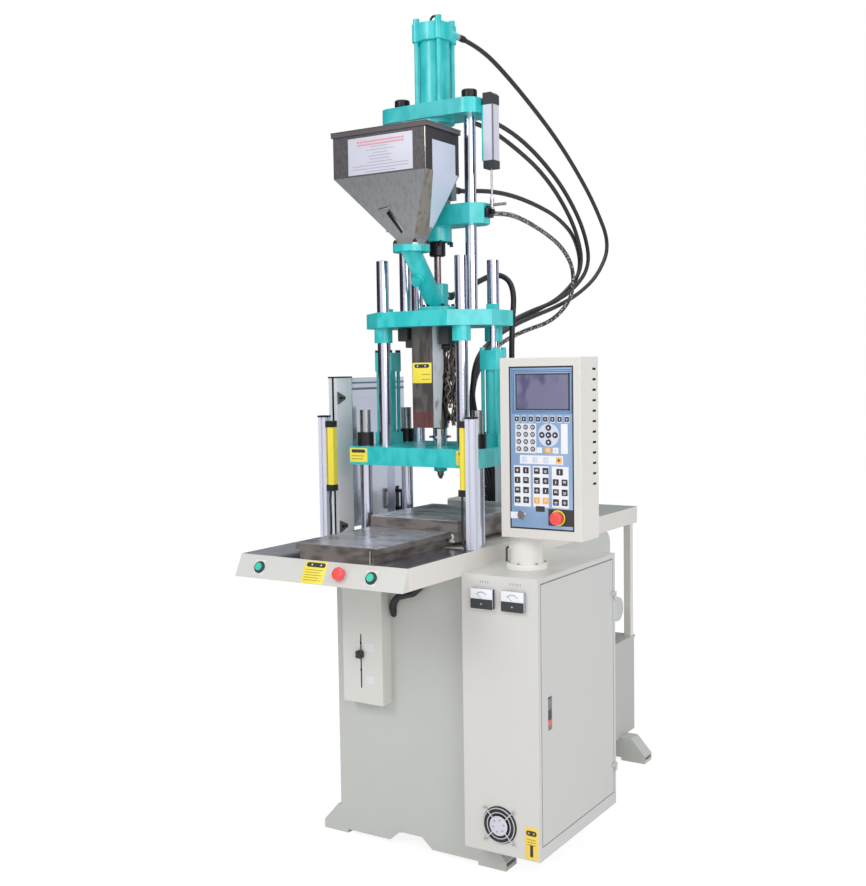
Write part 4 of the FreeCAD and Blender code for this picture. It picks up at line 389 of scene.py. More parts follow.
@dataclass(frozen=True)
class Look:
    """Named material: its slot in the record, a finish, and the zones that differ from it."""

    name: str
    slot: str
    base: Finish
    zones: tuple[Zone, ...] = ()
    coat: float = 0.0

    def material(self) -> bpy.types.Material:
        """Make the material at its first use.

        Returns:
            The material.
        """
        ready = bpy.data.materials.get(self.name)
        if ready is not None:
            return ready
        material = bpy.data.materials.new(self.name)
        tree = Surface(material)
        now = self.base.channels(tree)
        for zone in self.zones:
            mask, other = zone.mask(tree), zone.finish.channels(tree)
            now = Channels(tree.mix(mask, now.colour, other.colour), blended(mask, now.rough, other.rough),
                           blended(mask, now.metal, other.metal), blended(mask, now.relief, other.relief))
        bump = tree.node("ShaderNodeBump", {}, {"Strength": 1.0, "Distance": METRES, "Height": now.relief})
        tree.end(tree.node("ShaderNodeBsdfPrincipled", {}, {
            "Base Color": now.colour, "Roughness": now.rough, "Metallic": now.metal, "Coat Weight": self.coat,
            "Coat Roughness": 0.12, "Normal": bump}))
        return material


def sheet_paint(*colour: int) -> Finish:
    """Smooth paint of sheet metal."""
    return Finish(colour, 0.42, mottle=0.025, grain=0.03)


BEIGE = Finish((219, 215, 209), 0.42, mottle=0.025, grain=0.03, pitch=1.6)
# teal cast paint; its lighter second tone is painted reflection bands
TEAL = ReflectionBanded((32, 190, 192), 0.34, mottle=0.06, grain=0.05, pitch=3.0, second=(60, 204, 206), band=45.0,
                along=(1.0, 1.0, 2.0), share=0.5)
CHROME = Finish((208, 209, 226), 0.22, 1.0, mottle=0.03, smudge=0.03, grain=0.001, stretch=(1, 1, 8))
BLACK_STEEL = Finish((44, 42, 46), 0.35, 0.6, mottle=0.2, patch=20.0)
STEEL = Finish((170, 170, 174), 0.28, 1.0, mottle=0.1, patch=25.0, grain=0.004)
# pale blue grey, raised to near white as painted light for the shade the guard stands in; its darker second
# tone is painted reflection bands
BLUE_GREY = ReflectionBanded((246, 250, 255), 0.34, 0.35, mottle=0.05, grain=0.01, second=(228, 232, 240), band=160.0,
                     along=(1.0, 1.0, 3.0), share=0.4)
CAST_GREY = Finish((118, 132, 136), 0.5, 0.0, mottle=0.12, patch=30.0, grain=0.15, pitch=2.5)
PLASTIC = Finish((38, 36, 40), 0.4, mottle=0.1, grain=0.02)
YELLOW = Finish((246, 226, 70), 0.42, mottle=0.03)


class Finishes:
    """Looks that several pieces share."""

    BASE = Look("grey_base_paint", "grey_frame", Finish(
        (194, 195, 190), 0.5, mottle=0.04, grain=0.03, pitch=1.6))
    TEAL = Look("teal_cast_paint", "teal_cast", TEAL, coat=0.35)
    CHROME = Look("hard_chrome", "chrome_rod", CHROME)
    STEEL = Look("bare_steel", "steel", STEEL)
    BLACK_STEEL = Look("black_oxide_steel", "black_steel", BLACK_STEEL)
    CAST = Look("blue_grey_casting", "blue_grey_cast", CAST_GREY)
    ALUMINIUM = Look("anodised_aluminium", "aluminium_post", Finish(
        (228, 230, 242), 0.34, 0.15, mottle=0.04, grain=0.004, stretch=(1, 1, 10)))
    RUBBER = Look("black_hose_rubber", "black_rubber", Finish(
        (34, 31, 37), 0.48, mottle=0.16, patch=30.0, grain=0.04, pitch=1.5))
    BRAID = Look("braided_hose", "black_rubber", Braided((62, 60, 64), 0.42, mottle=0.15, patch=12.0))
    PLASTIC = Look("black_plastic", "black_plastic", PLASTIC)
    WHITE = Look("white_plate", "white_plastic", Finish((236, 236, 242), 0.45, mottle=0.02))
    YELLOW = Look("yellow_plate", "yellow_unit", YELLOW)
    OLIVE = Look("olive_print", "yellow_unit", Finish((176, 160, 60), 0.5))
    GREEN = Look("green_button_plastic", "green_button", Finish((60, 206, 178), 0.3, mottle=0.08, patch=8.0),
                 coat=0.5)
    RED = Look("red_stop_plastic", "red_stop", Finish((242, 78, 74), 0.32, mottle=0.08, patch=10.0), coat=0.4)
    METER = Look("meter_case", "white_plastic", Finish((176, 178, 186), 0.35, mottle=0.03))


# ================================================================ pieces
def added(name: str, data: bpy.types.ID) -> bpy.types.Object:
    """New object of the scene.

    Args:
        name: its name.
        data: its mesh, curve, lamp or camera.

    Returns:
        The object.
    """
    made = bpy.data.objects.new(name, data)
    bpy.context.scene.collection.objects.link(made)
    return made


def meshed(curve: bpy.types.Curve) -> bpy.types.Mesh:
    """Mesh of a curve or text.

    Args:
        curve: the curve, which is used up.

    Returns:
        Its mesh, without materials.
    """
    carrier = added(curve.name, curve)
    bpy.context.view_layer.update()
    mesh = bpy.data.meshes.new_from_object(carrier.evaluated_get(bpy.context.evaluated_depsgraph_get()))
    mesh.materials.clear()
    bpy.data.objects.remove(carrier)
    bpy.data.curves.remove(curve)
    return mesh


def around(count: int, radius: float, first: float = 0.0) -> list[Range]:
    """Offsets at even steps round a circle.

    Args:
        count: how many.
        radius: the circle's radius.
        first: angle of the first one, in degrees.

    Returns:
        Two coordinates of each.
    """
    turns = [math.radians(first + 360.0 * k / count) for k in range(count)]
    return [(radius * math.cos(turn), radius * math.sin(turn)) for turn in turns]


def rectangle(x: Range, z: Range, radius: float = 0.0, steps: int = 5) -> list[Range]:
    """Corners of a rectangle, in order.

    Args:
        x: its first extent.
        z: its second extent.
        radius: radius of its corners, 0 for sharp ones.
        steps: steps round each corner.

    Returns:
        The corners.
    """
    if not radius:
        return [(x[0], z[0]), (x[1], z[0]), (x[1], z[1]), (x[0], z[1])]
    points = []
    for k, (cx, cz) in enumerate(((x[1] - radius, z[1] - radius), (x[0] + radius, z[1] - radius),
                                  (x[0] + radius, z[0] + radius), (x[1] - radius, z[0] + radius))):
        for i in range(steps + 1):
            turn = math.radians(90 * k + 90 * i / steps)
            points.append((cx + radius * math.cos(turn), cz + radius * math.sin(turn)))
    return points


class Shape:
    """Mesh in the making, in millimetres from the screw's foot; looks go by their number in made()."""

    def __init__(self) -> None:
        """Start with an empty mesh."""
        self.mesh = bmesh.new()

    def _done(self, verts: Sequence[bmesh.types.BMVert], look: int, edge: float,
              test: Callable[[bmesh.types.BMEdge], bool] = lambda e: True) -> None:
        """Give the faces at some vertices a look, and bevel edges there.

        Args:
            verts: the vertices.
            look: number of the look.
            edge: size of the bevel.
            test: which of the edges take it.
        """
        for face in {f for v in verts for f in v.link_faces}:
            face.material_index = look
        if edge:
            edges = [e for e in {e for v in verts for e in v.link_edges} if test(e)]
            bmesh.ops.bevel(self.mesh, geom=edges, offset=edge, offset_type="OFFSET", affect="EDGES",
                            segments=BEVEL_STEPS, profile=0.5, material=-1, clamp_overlap=True)

    def block(self, low: Point, high: Point, edge: float = 0.0, look: int = 0) -> None:
        """Rectangular block.

        Args:
            low: its lowest corner.
            high: its highest corner.
            edge: softening of its edges.
            look: number of its look.
        """
        low_corner, high_corner = Vector(low), Vector(high)
        size = high_corner - low_corner
        place = Matrix.Translation((low_corner + high_corner) / 2) @ Matrix.Diagonal((*size, 1.0))
        self._done(bmesh.ops.create_cube(self.mesh, size=1.0, matrix=place)["verts"], look, edge)

    def rod(self, start: Point, end: Point, radius: float, look: int = 0, sides: int = 24,
            edge: float = 0.0) -> None:
        """Round or six-sided bar.

        Args:
            start: middle of its first end.
            end: middle of its other end.
            radius: its radius.
            look: number of its look.
            sides: sides of its section.
            edge: softening round both ends.
        """
        first, last = Vector(start), Vector(end)
        along = last - first
        place = Matrix.Translation((first + last) / 2) @ along.to_track_quat("Z", "Y").to_matrix().to_4x4()
        verts = bmesh.ops.create_cone(self.mesh, cap_ends=True, segments=sides, radius1=radius,
                                      radius2=radius, depth=along.length, matrix=place)["verts"]
        self._done(verts, look, edge, lambda e: any(len(f.verts) > 4 for f in e.link_faces))

    def turned(self, profile: Sequence[Range], foot: Point, along: Point = UPWARDS, look: int = 0,
               sides: int = 32) -> None:
        """Turned piece: a closed profile of (radius, height) spun round an axis.

        Args:
            profile: corners of the profile.
            foot: where height is 0 on the axis.
            along: direction of the axis.
            look: number of its look.
            sides: steps round the axis.
        """
        turn, centre = Vector(along).to_track_quat("Z", "Y"), Vector(foot)
        before = set(self.mesh.faces)
        verts = [self.mesh.verts.new(centre + turn @ Vector((r, 0.0, h))) for r, h in profile]
        edges = [self.mesh.edges.new((a, b)) for a, b in zip(verts, verts[1:] + verts[:1])]
        bmesh.ops.spin(self.mesh, geom=verts + edges, cent=centre, axis=turn @ Vector(UPWARDS),
                       angle=math.tau, steps=sides, use_merge=True, use_duplicate=False)
        for face in set(self.mesh.faces) - before:
            face.material_index = look

    def slab(self, outline: Sequence[Range], start: float, thick: float, look: int = 0, edge: float = 0.0,
             facing: Facing = Facing.FRONT) -> None:
        """Flat plate of any outline.

        Args:
            outline: its corners, in x and z, or in y and z where it faces right.
            start: y or x of its back face.
            thick: its thickness.
            look: number of its look.
            edge: softening of its front edges.
            facing: side that it looks to.
        """
        front = facing is Facing.FRONT
        verts = [self.mesh.verts.new((a, start, b) if front else (start, a, b)) for a, b in outline]
        face = self.mesh.faces.new(verts)
        face.material_index = look
        grown = bmesh.ops.extrude_face_region(self.mesh, geom=[face], use_keep_orig=True)["geom"]
        moved = [g for g in grown if isinstance(g, bmesh.types.BMVert)]
        bmesh.ops.translate(self.mesh, verts=moved, vec=(0.0, -thick, 0.0) if front else (thick, 0.0, 0.0))
        self._done(moved, look, edge, lambda e: all(v in moved for v in e.verts))

    def plate(self, x: Range, z: Range, y: float, thick: float, look: int = 0, edge: float = 0.0,
              radius: float = 0.0, steps: int = 5) -> None:
        """Rectangular plate that faces the front, its back face at y; radius rounds its corners."""
        self.slab(rectangle(x, z, radius, steps), y, thick, look, edge)

    def disc(self, x: float, z: float, y: float, radius: float, thick: float, look: int = 0,
             sides: int = 24) -> None:
        """Round plate that faces the front, its back face at y."""
        self.rod((x, y, z), (x, y - thick, z), radius, look, sides)

    def placed(self, matrix: Matrix) -> None:
        """Move all that has been made so far."""
        bmesh.ops.transform(self.mesh, matrix=matrix, verts=self.mesh.verts)

    def made(self, name: str, body: Body, *looks: Look) -> bpy.types.Object:
        """Finish the mesh as a piece that rides on a body.

        Args:
            name: name of the piece.
            body: body that it moves with.
            looks: its looks, by number.

        Returns:
            The piece.
        """
        self.placed(Matrix.Scale(METRES, 4) @ Matrix.Translation((-PLAN_X, -PLAN_Y, 0.0)))
        bmesh.ops.remove_doubles(self.mesh, verts=self.mesh.verts, dist=1e-7)
        bmesh.ops.recalc_face_normals(self.mesh, faces=self.mesh.faces)
        for face in self.mesh.faces:
            face.smooth = True
        for edge in self.mesh.edges:
            edge.smooth = edge.is_manifold and edge.calc_face_angle(0.0) < SHARP
        data = bpy.data.meshes.new(name)
        self.mesh.to_mesh(data)
        self.mesh.free()
        for look in looks:
            data.materials.append(look.material())
        piece = added(name, data)
        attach(piece, body.value)
        LOG.info("%s rides on %s", name, body.value)
        return piece


def dress(nodes: Nodes, look: Look, *names: str) -> None:
    """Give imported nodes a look.

    Args:
        nodes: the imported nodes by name.
        look: the look.
        names: nodes that take it.
    """
    for name in names:
        slots = nodes[name].material_slots
        if not slots:
            nodes[name].data.materials.append(look.material())
        for slot in slots:
            slot.material = look.material()
        LOG.info("%s is dressed in %s", name, look.name)


# ================================================================ the frame's pieces
Dressed = tuple[tuple[Look, tuple[str, ...]], ...]     # each look with the nodes that take it


def steel_with_painted_shade(name: str, metal: float, tones: Sequence[Colour], top: float) -> Look:
    """Ground steel with painted shade: its sides take darker tones than its top face.

    Args:
        name: name of the look.
        metal: how metallic the top face is.
        tones: two tones of the top face, the second as painted reflection bands, then two darker ones of the
            sides as painted shade.
        top: height at which the sides end.

    Returns:
        The look.
    """
    face = ReflectionBanded(tones[0], 0.26, metal, mottle=0.14, patch=50.0, grain=0.006, stretch=(1, 6, 1),
                    second=tones[1], band=60.0, along=(2.5, 1.0, 1.0), share=0.42)
    # darker tones of the sides: painted shade
    side = ReflectionBanded(tones[2], 0.34, 0.4, mottle=0.18, patch=30.0, grain=0.02, second=tones[3], band=26.0,
                    along=(3.0, 3.0, 1.0), share=0.45)
    return Look(name, "steel", face, (Zone(side, z=(1000, top)),))


@dataclass
class Structure:
    """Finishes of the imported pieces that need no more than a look; sizes in millimetres."""

    nodes: Nodes
    door_y: Range = (-282.0, 246.0)     # outline of the cabinet's door
    door_z: Range = (135.0, 928.0)
    seam: float = 2.4                   # width of the line round it

    def build(self) -> None:
        """Dress base, guards, cabinet, clamp, carriage and small movers."""
        for look, names in (*self.base(), *self.table(), *self.guards(), *self.cabinet(), *self.clamp(),
                            *self.carriage(), *self.injection(), *self.small()):
            dress(self.nodes, look, *names)

    def base(self) -> Dressed:
        """Looks of the foot, the body, and what is in it."""
        return (
            (Finishes.BASE, ("floor_beams", "body_frame")),
            (Look("slot_box_paint", "beige_sheet", sheet_paint(213, 213, 207)), ("slot_box",)),
            (Look("tank_paint", "beige_sheet", Finish(
                (182, 184, 180), 0.5, mottle=0.04, grain=0.03, pitch=1.6), (
                    Zone(PLASTIC, x=(-263, -190), y=(900, 985), z=(479, 540)),
                    Zone(Finish((70, 80, 60), 0.2), x=(-30, 4), y=(1061, 1090), z=(320, 424)))),
             ("oil_tank",)),
            (Finishes.CAST, ("clamp_cylinder", "fixed_platen")),
            (Look("pump_motor_finish", "grey_frame", Finish(
                (196, 200, 196), 0.45, mottle=0.06, grain=0.05), (Zone(CAST_GREY, x=(122, 200)),)),
             ("pump_motor",)),
            (Look("valve_cover_paint", "beige_sheet", BEIGE, (Zone(BLUE_GREY, z=(1096, 1300)),)),
             ("valve_cover",)))

    def table(self) -> Dressed:
        """Looks of the table, its worktop and the slide on it."""
        return (
            (Look("table_paint", "beige_sheet", BEIGE, (
                Zone(Finish((209, 208, 203), 0.42, mottle=0.025), y=(-640, -590.5), soft=1.0),
                Zone(Finish((172, 175, 174), 0.42, mottle=0.03), y=(330, 1100), z=(1001, 1003)))),
             ("table_frame",)),
            # polished steel whose darker bands are painted reflections
            (Look("polished_worktop", "stainless", ReflectionBanded(
                (138, 135, 142), 0.13, 0.65, mottle=0.1, patch=90.0, smudge=0.06, grain=0.002,
                stretch=(1, 5, 1), second=(112, 110, 116), band=90.0, along=(1.0, 2.0, 1.0), share=0.45), (
                    # lighter, softly edged left part: painted reflection
                    Zone(Finish((176, 176, 184), 0.26, 0.25, mottle=0.1, patch=40.0), x=(-600, -210),
                         soft=60.0),)), ("worktop_sheet",)),
            (steel_with_painted_shade("ground_rail", 0.4, (
                (172, 172, 180), (142, 138, 138), (126, 119, 116), (94, 87, 82)), 1050.5), ("slide_rail",)),
            # the block's top tones are brightened as painted light against the shade of the parts above it
            (steel_with_painted_shade("slide_block_finish", 0.3, (
                (208, 206, 212), (168, 160, 156), (150, 142, 138), (112, 104, 98)), 1084.5),
             ("slide_block",)))

    def guards(self) -> Dressed:
        """Looks of the light curtain and the guard."""
        line = Finish((122, 140, 152), 0.35, 0.4)
        ends = (((-400, 0), (1378, 1420)), ((-400, 0), (1100, 1183)), ((0, 400), (1384, 1420)),
                ((0, 400), (1100, 1189)))
        return (
            (Finishes.ALUMINIUM, ("curtain_posts",)),
            (Look("curtain_unit_finish", "yellow_unit", YELLOW, tuple(
                Zone(PLASTIC, x=x, z=z) for x, z in ends)), ("curtain_units",)),
            (Look("guard_post_finish", "aluminium_post", BLUE_GREY, (
                # the post's right face, painted near white as painted light where it stands in shade
                Zone(Finish((255, 249, 255), 0.4, 0.1, mottle=0.03), x=(-341, -339)),
                Zone(BLACK_STEEL, x=(-358, -350), y=(-125, -123)))), ("guard_post",)),
            (Look("guard_door_finish", "aluminium_post", Finish((218, 222, 234), 0.17, 0.85, mottle=0.04), (
                Zone(line, z=(1500, 1508)), Zone(line, z=(1522, 1528)),
                Zone(BLACK_STEEL, x=(-341, -300), y=(225, 250), z=(1040, 1140)))), ("guard_door",)))

    def cabinet(self) -> Dressed:
        """Looks of the cabinet, its door with the line round it, and the pendant's column."""
        (left, right), (low, high), paint = self.door_y, self.door_z, Finish((150, 150, 148), 0.6)
        return (
            # the door on the cabinet's right side, darker than the front as painted shade
            (Look("door_paint", "beige_sheet", sheet_paint(197, 196, 194), (
                Zone(paint, y=(left, left + self.seam)), Zone(paint, y=(right - self.seam, right)),
                Zone(paint, z=(low, low + self.seam)), Zone(paint, z=(high - self.seam, high)))),
             ("cabinet_door",)),
            (Look("cabinet_finish", "beige_sheet", sheet_paint(212, 209, 205), (
                # the cabinet's right side, darker than its front as painted shade
                Zone(Finish((199, 198, 196), 0.42, mottle=0.025), x=(516.5, 518)),
                Zone(PLASTIC, x=(318, 444), y=(-296.9, -256), z=(120, 246)))), ("electric_cabinet",)),
            (Look("column_paint", "beige_sheet", Finish((234, 233, 228), 0.42, mottle=0.025)),
             ("pendant_column",)))

    def clamp(self) -> Dressed:
        """Looks of the clamp's moving pieces."""
        return (
            (Finishes.TEAL, ("middle_platen", "lower_yoke")),
            (Look("tie_bar_finish", "chrome_rod", CHROME, (
                Zone(BLACK_STEEL, z=(1314.5, 1360.5)), Zone(BLACK_STEEL, z=(380, 434)),
                Zone(STEEL, z=(1360.5, 1440)))), ("tie_bars",)),
            (Finishes.CHROME, ("guide_rods", "clamp_ram")),
            (Look("lift_cylinder_finish", "teal_cast", TEAL, (
                Zone(BLACK_STEEL, x=(-300, 0), z=(1627.5, 1640)),), coat=0.35), ("lift_cylinders",)))

    def carriage(self) -> Dressed:
        """Looks of the carriage, its rods and the top cylinder."""
        return (
            (Finishes.TEAL, ("upper_plate", "top_plate")),
            (Look("feed_throat_finish", "teal_cast", TEAL, coat=0.35), ("feed_throat",)),
            (Look("lift_rod_finish", "chrome_rod", CHROME, (Zone(TEAL, z=(1757, 1780)),)), ("lift_rods",)),
            (Look("tall_rod_finish", "chrome_rod", CHROME, (Zone(BLACK_STEEL, z=(2435.5, 2480)),)),
             ("tall_rods",)),
            (Look("top_cylinder_finish", "teal_cast", TEAL, (
                Zone(BLACK_STEEL, x=(-30, 30), y=(-30, 30), z=(2698, 2740)),
                Zone(STEEL, y=(55, 70), x=(30, 70))), coat=0.35), ("top_cylinder",)),
            (Finishes.CHROME, ("piston_rod",)))

    def injection(self) -> Dressed:
        """Looks of the crosshead, the screw with its barrel and motor, and the sensor."""
        return (
            (Look("crosshead_finish", "teal_cast", TEAL, (
                Zone(BLACK_STEEL, z=(1975, 1989.5)),), coat=0.35), ("crosshead",)),
            (Look("barrel_finish", "steel", Finish((120, 112, 106), 0.35, 0.9, mottle=0.2, patch=25.0), (
                Zone(Finish((206, 208, 214), 0.18, 1.0), z=(1284, 1368)),)), ("barrel",)),
            (Look("band_heater_finish", "stainless", Finish(
                (150, 140, 126), 0.3, 1.0, mottle=0.25, patch=14.0), (
                    Zone(Finish((214, 202, 176), 0.6, mottle=0.1), y=(42, 60)),)), ("heater_bands",)),
            (Look("sensor_finish", "aluminium_post", Finish((206, 207, 220), 0.34, 0.1, mottle=0.03), (
                Zone(Finish((120, 120, 130), 0.34, 0.3), x=(224, 230), y=(-21, -16)),
                Zone(Finish((36, 190, 194), 0.36, mottle=0.05, grain=0.02), x=(180, 193)),
                Zone(PLASTIC, z=(2200, 2235)), Zone(PLASTIC, z=(2412, 2460)))), ("sensor_body",)),
            (Look("sensor_rod_finish", "steel", STEEL, (
                Zone(Finish((222, 222, 226), 0.3, 0.4), z=(2112, 2125)),)), ("sensor_rod",)),
            (Look("screw_motor_finish", "blue_grey_cast", CAST_GREY, (Zone(STEEL, z=(2262, 2290)),)),
             ("screw_motor",)),
            (Look("screw_finish", "steel", Finish((150, 128, 132), 0.24, 0.8, mottle=0.1), (
                Zone(BLACK_STEEL, z=(1942, 1992)),)), ("screw",)))

    def small(self) -> Dressed:
        """Looks of the small movers and what is beside them."""
        return (
            (Look("latch_finish", "black_plastic", Finish((122, 120, 122), 0.35, 0.5, mottle=0.1), (
                Zone(Finish((226, 92, 84), 0.4), z=(492, 508)), Zone(PLASTIC, z=(508, 540)))),
             ("cabinet_latch",)),
            (Finishes.RED, ("pendant_estop", "table_estop")),
            (Finishes.GREEN, ("button_left", "button_right")),
            (Finishes.STEEL, ("key_switch",)),
            (Look("dark_lever", "black_steel", Finish((84, 82, 90), 0.3, 0.5, mottle=0.1)), ("lock_lever",)),
            (Finishes.PLASTIC, ("fan_rotor", "clamp_knob")),
            (Finishes.METER, ("panel_meters",)),
            (Look("guard_wire", "steel", Finish((206, 206, 210), 0.3, 0.4, mottle=0.06)), ("fan_guard",)))


# ================================================================ hoses
@dataclass(frozen=True)
class Hose:
    """One hydraulic hose from its union down into the well behind the mould table.

    route holds the points of the part's source; its line is a NURBS spline with these control points.
    """

    name: str
    route: tuple[Point, ...]
    length: float               # along the hose, in millimetres
    radius: float = 8.0
    look: Look = Finishes.RUBBER
    lower: Body = Body.CLAMP    # body of its lower end, named in the log
    upper: Body = Body.CARRIAGE
    bend: Range = (1100, 2300)  # heights at which the real hose passes from one body to the other

    def line(self, bevel: float) -> bpy.types.Mesh:
        """Mesh of the spline.

        Args:
            bevel: radius in metres, 0 for a bare line.

        Returns:
            The mesh.
        """
        curve = bpy.data.curves.new(self.name + "_line", "CURVE")
        curve.dimensions = "3D"
        spline = curve.splines.new("NURBS")
        spline.points.add(len(self.route) - 1)
        for point, place in zip(spline.points, self.route):
            point.co = (*at(*place), 1.0)
        spline.order_u = 3
        spline.use_endpoint_u = True
        curve.resolution_u = 10
        curve.bevel_depth = bevel
        curve.bevel_resolution = 3
        curve.use_fill_caps = bevel > 0
        return meshed(curve)

    def build(self) -> None:
        """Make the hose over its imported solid, with the nut and sleeve at its upper end."""
        centre = [tuple(v.co) for v in self.line(0.0).vertices]
        tube = self.line(self.radius * METRES)
        tube.name = self.name + "_tube"
        for face in tube.polygons:
            face.use_smooth = True
        tube.materials.append(self.look.material())
        piece = added(tube.name, tube)
        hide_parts(self.name)
        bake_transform(piece)
        self.fitting()
        LOG.info("%s hangs from %s to %s", self.name, self.upper.value, self.lower.value)

    def fitting(self) -> None:
        """Make the swivel nut and crimped sleeve on the hose's upper end."""
        x, y, z = self.route[0]
        low, high = self.radius * 1.2, self.radius * 1.38
        shape = Shape()
        shape.rod((x, y - 4, z), (x, y + 14, z), self.radius * 1.45, 0, 6, 1.2)
        shape.rod((x, y + 13, z), (x, y + 40, z), self.radius * 1.25, 0, 20, 1.5)
        for start in (18, 25, 32):
            shape.turned([(low, start), (high, start + 1), (high, start + 4), (low, start + 5)], (x, y, z),
                         BACKWARDS, 0, 20)
        shape.made(self.name + "_fitting", self.upper, Finishes.BLACK_STEEL)


HOSES = (
    Hose("cylinder_top_hose", (
        (52, 66, 2668.5), (52, 130, 2668.5), (53, 260, 2653), (52, 410, 2608), (49, 610, 2536),
        (47, 810, 2452), (44, 1000, 2352), (43, 1170, 2240), (39, 1335, 2090), (36, 1215, 1955),
        (35, 1030, 1868), (33, 830, 1808), (31, 650, 1768), (30, 480, 1728), (30, 310, 1672),
        (30, 190, 1605), (30, 160, 1480), (30, 215, 1350), (30, 300, 1250), (30, 325, 1130),
        (30, 325, 965)), 3328),
    Hose("cylinder_foot_hose", (
        (84, 70, 2413), (84, 130, 2413), (82, 265, 2419), (76, 460, 2394), (68, 667, 2336),
        (59, 870, 2250), (46, 1060, 2125), (34, 1143, 1985), (20, 985, 1872), (16, 790, 1815),
        (12, 600, 1775), (10, 430, 1715), (10, 290, 1635), (10, 205, 1530), (10, 203, 1390),
        (10, 245, 1290), (10, 318, 1215), (10, 345, 1110), (10, 345, 965)), 2849),
    Hose("cylinder_drain_hose", (
        (58, 70, 2402), (58, 130, 2402), (62, 265, 2397), (61, 450, 2360), (52, 655, 2312),
        (43, 850, 2228), (26, 1036, 2112), (13, 1118, 1976), (-2, 962, 1862), (-6, 770, 1800),
        (-8, 580, 1752), (-10, 420, 1690), (-10, 300, 1610), (-10, 232, 1510), (-10, 228, 1380),
        (-10, 270, 1280), (-10, 340, 1200), (-10, 365, 1100), (-10, 365, 965)), 2756),
    Hose("motor_inlet_hose", (
        (34, 52, 2167), (34, 110, 2167), (46, 240, 2186), (48, 420, 2194), (38, 640, 2184),
        (24, 860, 2160), (2, 1072, 2099), (-14, 1160, 1966), (-24, 1000, 1850), (-28, 810, 1805),
        (-30, 620, 1765), (-31, 450, 1700), (-30, 330, 1620), (-30, 262, 1515), (-30, 260, 1385),
        (-30, 295, 1280), (-30, 360, 1200), (-30, 385, 1100), (-30, 385, 965)),
         2767, lower=Body.CARRIAGE, upper=Body.CROSSHEAD, bend=(1100, 2050)),
    Hose("motor_outlet_hose", (
        (148, 54, 2084), (148, 110, 2084), (145, 240, 2097), (130, 400, 2088), (112, 590, 2062),
        (94, 750, 2030), (82, 878, 1962), (70, 895, 1845), (26, 806, 1750), (-36, 680, 1712),
        (-50, 530, 1668), (-50, 390, 1606), (-50, 310, 1515), (-50, 302, 1400), (-50, 325, 1290),
        (-50, 380, 1195), (-50, 400, 1095), (-50, 400, 965)),
         2223, look=Finishes.BRAID, lower=Body.CARRIAGE, upper=Body.CROSSHEAD, bend=(1100, 2000)),
    Hose("throat_hose", (
        (0, 50, 1815), (0, 90, 1815), (40, 165, 1858), (105, 222, 1900), (178, 212, 1850),
        (188, 165, 1690), (165, 206, 1500), (128, 262, 1330), (118, 335, 1220), (118, 352, 1110),
        (118, 352, 965)), 1229, radius=9.5, bend=(1100, 1750)),
)


# ================================================================ yellow plates
@dataclass(frozen=True)
class Label:
    """Bare plate that faces the front: a dark bar, pale dots in it and short lines, as a label has them."""

    x: Range
    z: Range
    radius: float
    bar: tuple[Range, Range, float]             # x, z and radius of the dark bar
    lines: tuple[tuple[Range, Range], ...]      # x and z of each line
    dots: tuple[float, ...] = ()                # x of each dot
    dot: tuple[float, float, float] = (0.0, 0.0, 0.0)   # z, radius and how far in front of the face
    thick: float = 0.8
    bar_thick: float = 0.25
    line_look: int = 2          # looks 0 and 1 are those of plate and bar
    dot_look: int = 3

    def add(self, shape: Shape, face: float) -> None:
        """Add it to a shape.

        Args:
            shape: the shape that takes it.
            face: y of the face under it.
        """
        shape.plate(self.x, self.z, face + 0.2, self.thick, 0, 0.2, self.radius)
        top = face + 0.2 - self.thick
        shape.plate(self.bar[0], self.bar[1], top, self.bar_thick, 1, radius=self.bar[2])
        for x in self.dots:
            shape.disc(x, self.dot[0], face - self.dot[2], self.dot[1], 0.25, self.dot_look, 12)
        for x, z in self.lines:
            shape.plate(x, z, top, 0.2, self.line_look)


